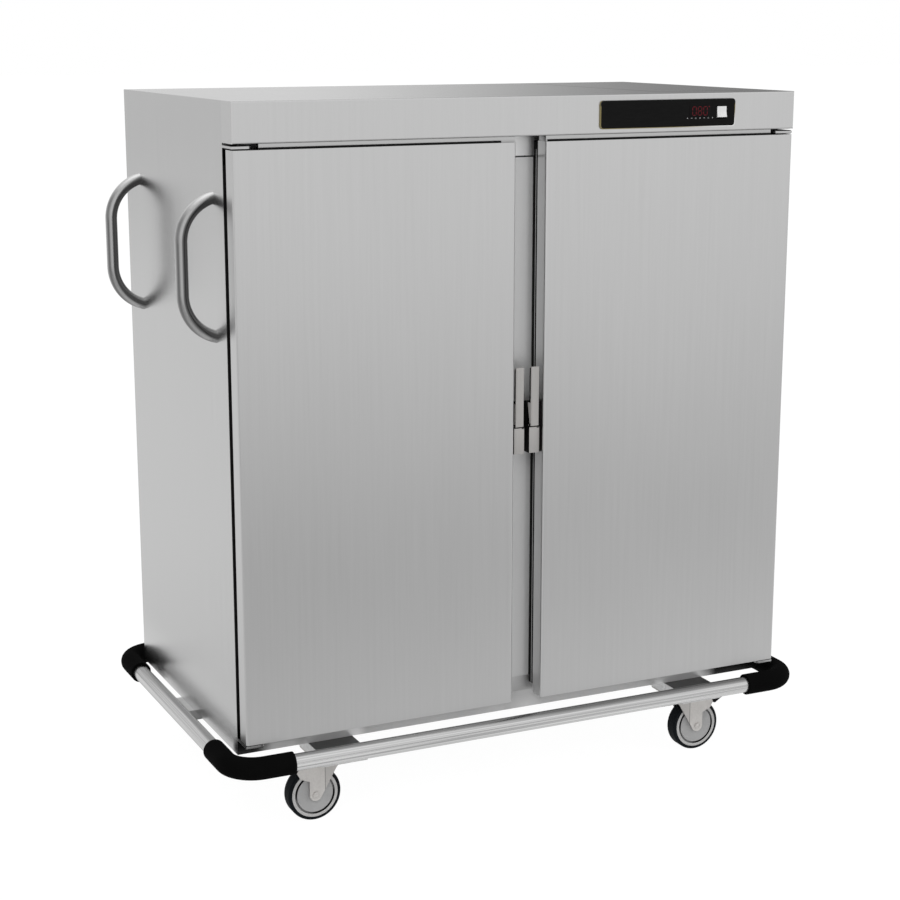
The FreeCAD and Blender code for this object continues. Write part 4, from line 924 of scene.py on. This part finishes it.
def panel_bezel():
    """Thin metal rim round the control panel, with the panel's rounded corners."""
    low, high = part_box("control_panel")
    width, height = high.x - low.x, high.z - low.z
    middle = Vector(((low.x + high.x) / 2, low.y, (low.z + high.z) / 2))
    turn = Matrix.Rotation(math.radians(90), 4, "X")
    place = Matrix.Translation(middle) @ turn @ Matrix.Diagonal((width, height, 1.0, 1.0))
    bm = bmesh.new()
    bmesh.ops.create_grid(bm, x_segments=1, y_segments=1, size=0.5, matrix=place)
    bmesh.ops.bevel(
        bm,
        geom=bm.verts[:],
        offset=PANEL_CORNER,
        segments=6,
        profile=0.5,
        affect="VERTICES",
        material=-1,
    )
    rim = bmesh.ops.inset_region(
        bm, faces=bm.faces[:], thickness=BEZEL_WIDTH, use_boundary=True, use_even_offset=True
    )["faces"]
    bmesh.ops.delete(bm, geom=[face for face in bm.faces if face not in rim], context="FACES")
    bmesh.ops.recalc_face_normals(bm, faces=bm.faces)
    bmesh.ops.solidify(bm, geom=bm.faces[:], thickness=BEZEL_HEIGHT)
    seat = max(vert.co.y for vert in bm.verts)
    bmesh.ops.translate(bm, verts=bm.verts, vec=(0.0, low.y - seat, 0.0))
    piece("panel_bezel", bm, "bezel_metal", "cabinet")


def add_bar(bm, middle, angle):
    """One lit bar: a long hexagon, upright or level."""
    length = DIGIT_WIDTH if angle == 0.0 else DIGIT_HEIGHT / 2
    turn = Matrix.Rotation(math.radians(90), 4, "X") @ Matrix.Rotation(math.radians(angle), 4, "Z")
    stretch = Matrix.Diagonal((length * 0.46, SEGMENT_WIDTH * 0.58, 1.0, 1.0))
    place = Matrix.Translation(middle) @ turn @ stretch
    bmesh.ops.create_cone(
        bm, cap_ends=True, segments=6, radius1=1.0, radius2=1.0, depth=PRINT_THICKNESS, matrix=place
    )


def display():
    """Smoked window with three lit seven-bar digits and a degree dot."""
    panel_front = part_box("control_panel")[0].y
    front = panel_front - WINDOW_THICKNESS
    x, z = DISPLAY_MIDDLE
    bm = bmesh.new()
    window_low = (x - WINDOW_LEFT, front, z - WINDOW_HALF_HEIGHT)
    window_high = (x + WINDOW_RIGHT, panel_front, z + WINDOW_HALF_HEIGHT)
    add_block(bm, window_low, window_high, WINDOW_EASE)
    piece("display_window", bm, "panel_black", "cabinet")
    bm = bmesh.new()
    half_width, half_height = DIGIT_WIDTH / 2, DIGIT_HEIGHT / 2
    bars = {
        "a": (0.0, half_height, 0.0),
        "g": (0.0, 0.0, 0.0),
        "d": (0.0, -half_height, 0.0),
        "f": (-half_width, half_height / 2, 90.0),
        "b": (half_width, half_height / 2, 90.0),
        "e": (-half_width, -half_height / 2, 90.0),
        "c": (half_width, -half_height / 2, 90.0),
    }
    for i, digit in enumerate(SHOWN_DIGITS):
        for bar in LIT_SEGMENTS[digit]:
            dx, dz, angle = bars[bar]
            digit_x = x + (i - 1) * DIGIT_PITCH
            add_bar(bm, Vector((digit_x + dx, front - PRINT_THICKNESS / 2, z + dz)), angle)
    dot = (x + DEGREE_DOT_X, front, z + half_height)
    add_disc(bm, dot, FRONT, DEGREE_DOT_RADIUS, PRINT_THICKNESS, 10)
    piece("display_digits", bm, "display_red", "cabinet")


def key_marks():
    """Row of small plain key signs under the display: arrow heads, bars and rings by turns."""
    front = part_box("control_panel")[0].y
    bm = bmesh.new()
    for i in range(MARK_COUNT):
        x = MARK_LEFT + i * MARK_PITCH
        middle = (x, front, MARK_ROW_Z)
        if i % 3 == 0:
            add_disc(bm, middle, FRONT, MARK_HALF_WIDTH, PRINT_THICKNESS, 3)
        elif i % 3 == 1:
            bar_low = (x - MARK_HALF_WIDTH, front - PRINT_THICKNESS, MARK_ROW_Z - MARK_BAR_HALF)
            bar_high = (x + MARK_HALF_WIDTH, front, MARK_ROW_Z + MARK_BAR_HALF)
            add_block(bm, bar_low, bar_high)
        else:
            add_ring(bm, middle, FRONT, MARK_RING_RADIUS, MARK_RING_WIRE, 12, 4)
    piece("key_marks", bm, "mark_grey", "cabinet")


# Doors, hinges and latches


def latch_covers():
    """Pale cover plate on each latch block, with the dark end of the lever's axle at its top."""
    for side, sign in SIDES.items():
        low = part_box(side + "_latch_housing")[0]
        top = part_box(side + "_latch_lever")[0].z - COVER_DROP
        left = sign * LATCH_X - COVER_HALF_WIDTH
        right = sign * LATCH_X + COVER_HALF_WIDTH
        bm = bmesh.new()
        add_block(bm, (left, low.y - COVER_SHEET, low.z), (right, low.y, top), SHEET_EASE)
        piece(side + "_latch_cover", bm, "latch_metal", side + "_door")
        bm = bmesh.new()
        end_low = (right - AXLE_END_X[0], low.y - AXLE_END_THICKNESS, top - AXLE_END_Z[0])
        end_high = (right - AXLE_END_X[1], low.y, top - AXLE_END_Z[1])
        add_block(bm, end_low, end_high, SHEET_EASE)
        piece(side + "_latch_axle_end", bm, "black_plastic", side + "_door")


def lever_grips():
    """Black finger grip along the back of each lever, over the latch body."""
    for side in SIDES:
        body_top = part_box(side + "_latch_housing")[1].z
        low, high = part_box(side + "_latch_lever")
        front = low.y + GRIP_SETBACK
        bm = bmesh.new()
        grip_low = (low.x + GRIP_SIDE, front, body_top + GRIP_END)
        grip_high = (high.x - GRIP_SIDE, front + GRIP_DEPTH, high.z - GRIP_END)
        add_block(bm, grip_low, grip_high, GRIP_EASE)
        piece(side + "_lever_grip", bm, "black_plastic", side + "_lever")


def door_top_seals():
    """Black strip along the front of each door's upper edge."""
    for side, sign in SIDES.items():
        low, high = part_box(side + "_door_skin")
        left, right = span(sign, STRIP_START[side], TRIM_END)
        strip_low = (left, low.y + STRIP_Y[0], high.z)
        strip_high = (right, low.y + STRIP_Y[1], high.z + STRIP_HEIGHT)
        bm = bmesh.new()
        add_block(bm, strip_low, strip_high, STRIP_EASE)
        piece(side + "_door_top_seal", bm, "gasket_rubber", side + "_door")


def door_top_lips():
    """Steel lip behind the strip on each door's upper edge, turned back at the middle of the cart."""
    for side, sign in SIDES.items():
        low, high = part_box(side + "_door_skin")
        top = high.z + LIP_HEIGHT
        bend = low.y + LIP_BACK
        left, right = span(sign, LIP_START, TRIM_END)
        bm = bmesh.new()
        add_block(bm, (left, bend - LIP_SHEET, high.z), (right, bend, top), SHEET_EASE)
        left, right = span(sign, LIP_START, LIP_START + LIP_SHEET)
        add_block(bm, (left, bend, high.z), (right, bend + LIP_RETURN, top), SHEET_EASE)
        piece(side + "_door_top_lip", bm, "fitting_steel", side + "_door")


def gasket_corners():
    """Black rubber corner on top of each door's gasket, next to the middle of the cart."""
    for side, sign in SIDES.items():
        low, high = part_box(side + "_door_gasket")
        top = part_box(side + "_door_skin")[1].z - GASKET_CORNER_GAP
        left, right = span(sign, *GASKET_CORNER_X)
        bm = bmesh.new()
        add_block(bm, (left, low.y, high.z), (right, high.y, top), GASKET_CORNER_EASE)
        piece(side + "_gasket_corner", bm, "gasket_rubber", side + "_door")


def frame_gap_shades():
    """Black strip down the cabinet's front edge behind each door's hinge side, standing in for the
    shade in the gap.
    """
    low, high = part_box("hinge_plates")
    for side, sign in SIDES.items():
        left, right = span(sign, *FRAME_GAP_SHADE_X)
        # Black strip put where the gap behind the door is in shade.
        strip_low = (left, high.y - FRAME_GAP_SHADE_DEPTH, low.z + FRAME_GAP_SHADE_LOW)
        strip_high = (right, high.y, high.z - FRAME_GAP_SHADE_HIGH)
        bm = bmesh.new()
        add_block(bm, strip_low, strip_high, STRIP_EASE)
        piece(side + "_frame_gap_shade", bm, "gasket_rubber", "cabinet")


def hinge_shims():
    """Thin black shims on both sides of each hinge plate."""
    low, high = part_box("hinge_plates")
    under_upper = high.z - HINGE_PLATE - SHIM_SHEET
    under_lower = low.z - SHIM_SHEET
    front, back = low.y + SHIM_FRONT, high.y - SHIM_BACK
    bm = bmesh.new()
    for sign in SIDES.values():
        left, right = span(sign, *SHIM_X)
        for z in (high.z, under_upper, under_lower, low.z + HINGE_PLATE):
            add_block(bm, (left, front, z), (right, back, z + SHIM_SHEET), BLOCK_EASE)
    piece("hinge_shims", bm, "gasket_rubber", "cabinet")


def hinge_fittings():
    """Domed caps on the hinge pins and screws in the hinge legs."""
    low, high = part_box("hinge_plates")
    pin_low, pin_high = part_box("hinge_pins")
    axis_y = (pin_low.y + pin_high.y) / 2
    bm = bmesh.new()
    for sign in SIDES.values():
        for z, axis in ((high.z, UP), (low.z, DOWN)):
            seat = Vector((sign * HINGE_AXIS_X, axis_y, z))
            add_disc(bm, seat, axis, CAP_RADIUS, CAP_RIM)
            add_disc(bm, seat + axis * CAP_RIM, axis, CAP_RADIUS, CAP_DOME, top=0.7)
        upper_rows = [high.z - z for z in LEG_SCREW_Z]
        lower_rows = [low.z + z for z in LEG_SCREW_Z]
        for z in upper_rows + lower_rows:
            add_screw(bm, (sign * LEG_SCREW_X, high.y - LEG_FRONT, z), FRONT)
    piece("hinge_fittings", bm, "fitting_steel", "cabinet")


def strike_screws():
    """Two screws in each strike plate on the mullion."""
    low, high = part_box("latch_strikes")
    bm = bmesh.new()
    for sign in SIDES.values():
        for z in STRIKE_SCREW_Z:
            seat = (sign * LATCH_X, high.y - STRIKE_FRONT, low.z + z)
            add_screw(bm, seat, FRONT, STRIKE_SCREW_RADIUS)
    piece("strike_screws", bm, "fitting_steel", "cabinet")


def door_liner_screws():
    """Screws round the inner face of each door."""
    for side in SIDES:
        low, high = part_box(side + "_door_liner")
        bottom, top = low.z + LINER_SCREW_END, high.z - LINER_SCREW_END
        bm = bmesh.new()
        for x in (low.x + LINER_SCREW_SIDE, high.x - LINER_SCREW_SIDE):
            for i in range(LINER_SCREW_ROWS):
                z = bottom + i * (top - bottom) / (LINER_SCREW_ROWS - 1)
                add_screw(bm, (x, high.y, z), BACK)
        for z in (bottom, top):
            add_screw(bm, ((low.x + high.x) / 2, high.y, z), BACK)
        piece(side + "_door_liner_screws", bm, "fitting_steel", side + "_door")


# Casters


def caster_fittings():
    """Rim and dome on the axle's head and nut, and the ball race over each fork."""
    for name in ("front_left", "front_right", "rear_left", "rear_right"):
        low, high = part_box("caster_axle_" + name)
        fork_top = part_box("caster_fork_" + name)[1].z
        x = (low.x + high.x) / 2
        bm = bmesh.new()
        for y, axis in ((low.y, FRONT), (high.y, BACK)):
            add_ring(bm, (x, y, AXLE_Z), axis, AXLE_RIM_RADIUS, AXLE_RIM_WIRE, 28, 6)
            add_disc(bm, (x, y, AXLE_Z), axis, AXLE_DOME_RADIUS, AXLE_DOME_HEIGHT, 18, 0.55)
        piece("axle_ends_" + name, bm, "zinc", "swivel_" + name)
        swivel_x = math.copysign(SWIVEL_X, x)
        swivel_y = (low.y + high.y) / 2
        bm = bmesh.new()
        for z in RACE_Z:
            add_ring(bm, (swivel_x, swivel_y, fork_top + z), UP, RACE_RADIUS, RACE_WIRE)
        piece("ball_race_" + name, bm, "zinc", "cabinet")


def pedal_ridges():
    """Grip ridges across the tread of each brake pedal."""
    along = PEDAL_TREAD.normalized()
    slope = Matrix.Rotation(-math.atan2(along.z, along.x), 4, "Y")
    raised = Vector((-along.z, 0.0, along.x)) * PEDAL_HALF_THICKNESS
    for name in ("front_right", "rear_right"):
        low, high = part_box("brake_pedal_" + name)
        swivel = Vector((SWIVEL_X, (low.y + high.y) / 2, 0.0))
        bm = bmesh.new()
        for i in range(RIDGE_COUNT):
            middle = swivel + PEDAL_KNEE + along * (RIDGE_START + RIDGE_PITCH * i) + raised
            add_block(bm, middle - RIDGE_HALF, middle + RIDGE_HALF, BLOCK_EASE, slope)
        piece("pedal_ridges_" + name, bm, "black_plastic", "pedal_" + name)


# Back and inside


def back_screws():
    """Screws round the edge of the back panel."""
    low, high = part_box("back_panel")
    left, right = low.x + BACK_SCREW_SIDE, high.x - BACK_SCREW_SIDE
    bm = bmesh.new()
    for i in range(BACK_SCREW_SPACES + 1):
        x = left + i * (right - left) / BACK_SCREW_SPACES
        for z in (low.z + BACK_SCREW_END, high.z - BACK_SCREW_END):
            add_screw(bm, (x, high.y, z), BACK)
    for i in range(1, BACK_SCREW_SPACES):
        z = low.z + i * (high.z - low.z) / BACK_SCREW_SPACES
        for x in (left, right):
            add_screw(bm, (x, high.y, z), BACK)
    piece("back_screws", bm, "fitting_steel", "cabinet")


def vent_hoods():
    """Pressed hood beside each vent slot in the back."""
    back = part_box("back_panel")[1].y
    inlet_low, inlet_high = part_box("power_inlet")
    middle_z = (inlet_low.z + inlet_high.z) / 2
    lean = Matrix.Rotation(math.radians(HOOD_LEAN), 4, "Z")
    bm = bmesh.new()
    for i in range(VENT_COUNT):
        x = VENT_FIRST_X + i * VENT_PITCH
        hood_low = (x - HOOD_HALF_SHEET, back - HOOD_ROOT, middle_z - HOOD_HALF_HEIGHT)
        hood_high = (x + HOOD_HALF_SHEET, back + HOOD_REACH, middle_z + HOOD_HALF_HEIGHT)
        add_block(bm, hood_low, hood_high, SHEET_EASE, lean)
    piece("vent_hoods", bm, "side_steel", "cabinet")


def rating_plate():
    """Bare plate with four rivets on the back."""
    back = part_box("back_panel")[1].y
    front = back + PLATE_SHEET
    x, z = PLATE_MIDDLE
    half_x, half_z = PLATE_HALF
    bm = bmesh.new()
    add_block(bm, (x - half_x, back, z - half_z), (x + half_x, front, z + half_z), SHEET_EASE)
    for dx in (RIVET_MARGIN - half_x, half_x - RIVET_MARGIN):
        for dz in (RIVET_MARGIN - half_z, half_z - RIVET_MARGIN):
            add_disc(bm, (x + dx, front, z + dz), BACK, RIVET_RADIUS, RIVET_HEIGHT, 12, 0.6)
    piece("rating_plate", bm, "fitting_steel", "cabinet")


def inlet_blades():
    """Bright metal sleeves over the inlet's three blades, and the inlet's two screws."""
    low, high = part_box("power_inlet")
    x, z = (low.x + high.x) / 2, (low.z + high.z) / 2
    floor_y = high.y - INLET_DEPTH
    bm = bmesh.new()
    for dx, dz in BLADES:
        blade_low = (x + dx - BLADE_HALF_WIDTH, floor_y + BLADE_Y[0], z + dz - BLADE_HALF_HEIGHT)
        blade_high = (x + dx + BLADE_HALF_WIDTH, floor_y + BLADE_Y[1], z + dz + BLADE_HALF_HEIGHT)
        add_block(bm, blade_low, blade_high, SHEET_EASE)
    for dx in (-INLET_SCREW_X, INLET_SCREW_X):
        add_screw(bm, (x + dx, high.y, z), BACK, INLET_SCREW_RADIUS)
    piece("inlet_blades", bm, "fitting_steel", "cabinet")


def fan_guard():
    """Wire guard over the fan's eye in the air baffle."""
    baffle_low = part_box("air_baffle")[0]
    fan_low, fan_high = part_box("fan_impeller")
    middle = Vector((0.0, (fan_low.y + fan_high.y) / 2, baffle_low.z - GUARD_WIRE))
    bm = bmesh.new()
    for radius in GUARD_RINGS:
        add_ring(bm, middle, UP, radius, GUARD_WIRE, 48, 6)
    for angle in (45, 135):
        turn = Matrix.Rotation(math.radians(angle), 4, "Z")
        add_block(bm, middle - GUARD_BAR_HALF, middle + GUARD_BAR_HALF, BLOCK_EASE, turn)
    piece("fan_guard", bm, "fitting_steel", "cabinet")


panel_bezel()
display()
key_marks()
latch_covers()
lever_grips()
door_top_seals()
door_top_lips()
gasket_corners()
frame_gap_shades()
hinge_shims()
hinge_fittings()
strike_screws()
door_liner_screws()
caster_fittings()
pedal_ridges()
back_screws()
vent_hoods()
rating_plate()
inlet_blades()
fan_guard()


# Floor, light and camera


def white_room():
    """White surroundings; mirrored, they are greyer behind the cart and darker at the back right."""
    world = bpy.data.worlds.new("white_room")
    world.use_nodes = True
    scene.world = world
    tree = Tree(world.node_tree)
    background = tree.nodes["Background"]
    background.inputs["Color"].default_value = grey(1.0)
    x, y = tree.split(tree.node("ShaderNodeTexCoord", output="Generated"))[:2]
    rear = tree.ramp(x, *ROOM_REAR_X, *ROOM_REAR)
    mirrored = tree.blend(tree.ramp(y, *ROOM_REAR_Y), ROOM_FRONT, rear)
    direct = tree.rays("Is Camera Ray", "Is Transmission Ray")
    plain = ROOM_LIGHT + direct * (ROOM_WHITE - ROOM_LIGHT)
    tree.feed(background.inputs["Strength"], tree.blend(tree.rays("Is Glossy Ray"), plain, mirrored))


def mirrored_floor(tree):
    """Grey of the floor as mirrored in the steel: bands along Y, paler to the right of the cart."""
    x, y = tree.split(tree.node("ShaderNodeTexCoord", output="Object"))[:2]
    nearest, farthest = FLOOR_LEVELS[0][0], FLOOR_LEVELS[-1][0]
    limits = {"Value": y, "From Min": nearest, "From Max": farthest}
    bands = tree.node("ShaderNodeValToRGB", None, {0: tree.node("ShaderNodeMapRange", None, limits)})
    stops = bands.output.node.color_ramp.elements
    while len(stops) < len(FLOOR_LEVELS):
        stops.new(0.5)
    for stop, (place, level) in zip(stops, FLOOR_LEVELS):
        stop.position = (place - nearest) / (farthest - nearest)
        stop.color = grey(level)
    right = tree.ramp(y * FLOOR_SLANT + x, *FLOOR_RIGHT, 1.0, FLOOR_RIGHT_GAIN)
    beside = tree.ramp(y, *FLOOR_RIGHT_NEAR_Y) * tree.ramp(y, *FLOOR_RIGHT_FAR_Y)
    gain = tree.blend(beside, 1.0, right)
    return tree.node("ShaderNodeVectorMath", {"operation": "SCALE"}, {0: bands, "Scale": gain})


def floor_finish():
    """White with a faint shadow of the cart; mirrored in the steel it has paler and greyer bands."""
    material = bpy.data.materials.new("floor")
    material.use_nodes = True
    tree = Tree(material.node_tree)
    tree.nodes.remove(tree.nodes["Principled BSDF"])
    seen = tree.mix(tree.rays("Is Glossy Ray"), grey(1.0), mirrored_floor(tree))
    white = tree.node("ShaderNodeEmission", None, {"Color": seen, "Strength": FLOOR_GLOW})
    pale = tree.node("ShaderNodeBsdfDiffuse", None, {"Color": grey(FLOOR_GREY)})
    direct = tree.rays("Is Camera Ray", "Is Glossy Ray", "Is Transmission Ray")
    both = tree.node("ShaderNodeMixShader", None, {0: direct * FLOOR_WHITE, 1: pale, 2: white})
    tree.feed(tree.nodes["Material Output"].inputs["Surface"], both)
    return material


def pale_floor():
    """Wide level floor under the cart."""
    bm = bmesh.new()
    bmesh.ops.create_grid(bm, x_segments=1, y_segments=1, size=FLOOR_HALF)
    mesh = bpy.data.meshes.new("floor")
    bm.to_mesh(mesh)
    bm.free()
    mesh.materials.append(floor_finish())
    floor = bpy.data.objects.new("floor", mesh)
    scene.collection.objects.link(floor)


def soft_lamp(name, place, power):
    """Round soft lamp that points at the cart and isn't mirrored in it."""
    data = bpy.data.lights.new(name, "AREA")
    data.shape = "DISK"
    data.size = LAMP_SIZE
    data.energy = power
    lamp = bpy.data.objects.new(name, data)
    lamp.visible_glossy = False
    lamp.location = place
    lamp.rotation_euler = (Vector(LAMP_AIM) - Vector(place)).to_track_quat("-Z", "Y").to_euler()
    scene.collection.objects.link(lamp)


def photo_camera():
    """Camera from the front left, a little above the cart."""
    data = bpy.data.cameras.new("camera")
    data.sensor_fit = "HORIZONTAL"
    data.sensor_width = CAMERA_SENSOR
    data.lens = CAMERA_LENS
    camera = bpy.data.objects.new("camera", data)
    camera.location = CAMERA_PLACE
    camera.rotation_euler = (math.radians(90 - CAMERA_ELEVATION), 0.0, math.radians(CAMERA_AZIMUTH))
    scene.collection.objects.link(camera)
    scene.camera = camera


scene.view_settings.view_transform = "Standard"
white_room()
pale_floor()
soft_lamp("key", KEY_PLACE, KEY_POWER)
soft_lamp("fill", FILL_PLACE, FILL_POWER)
photo_camera()
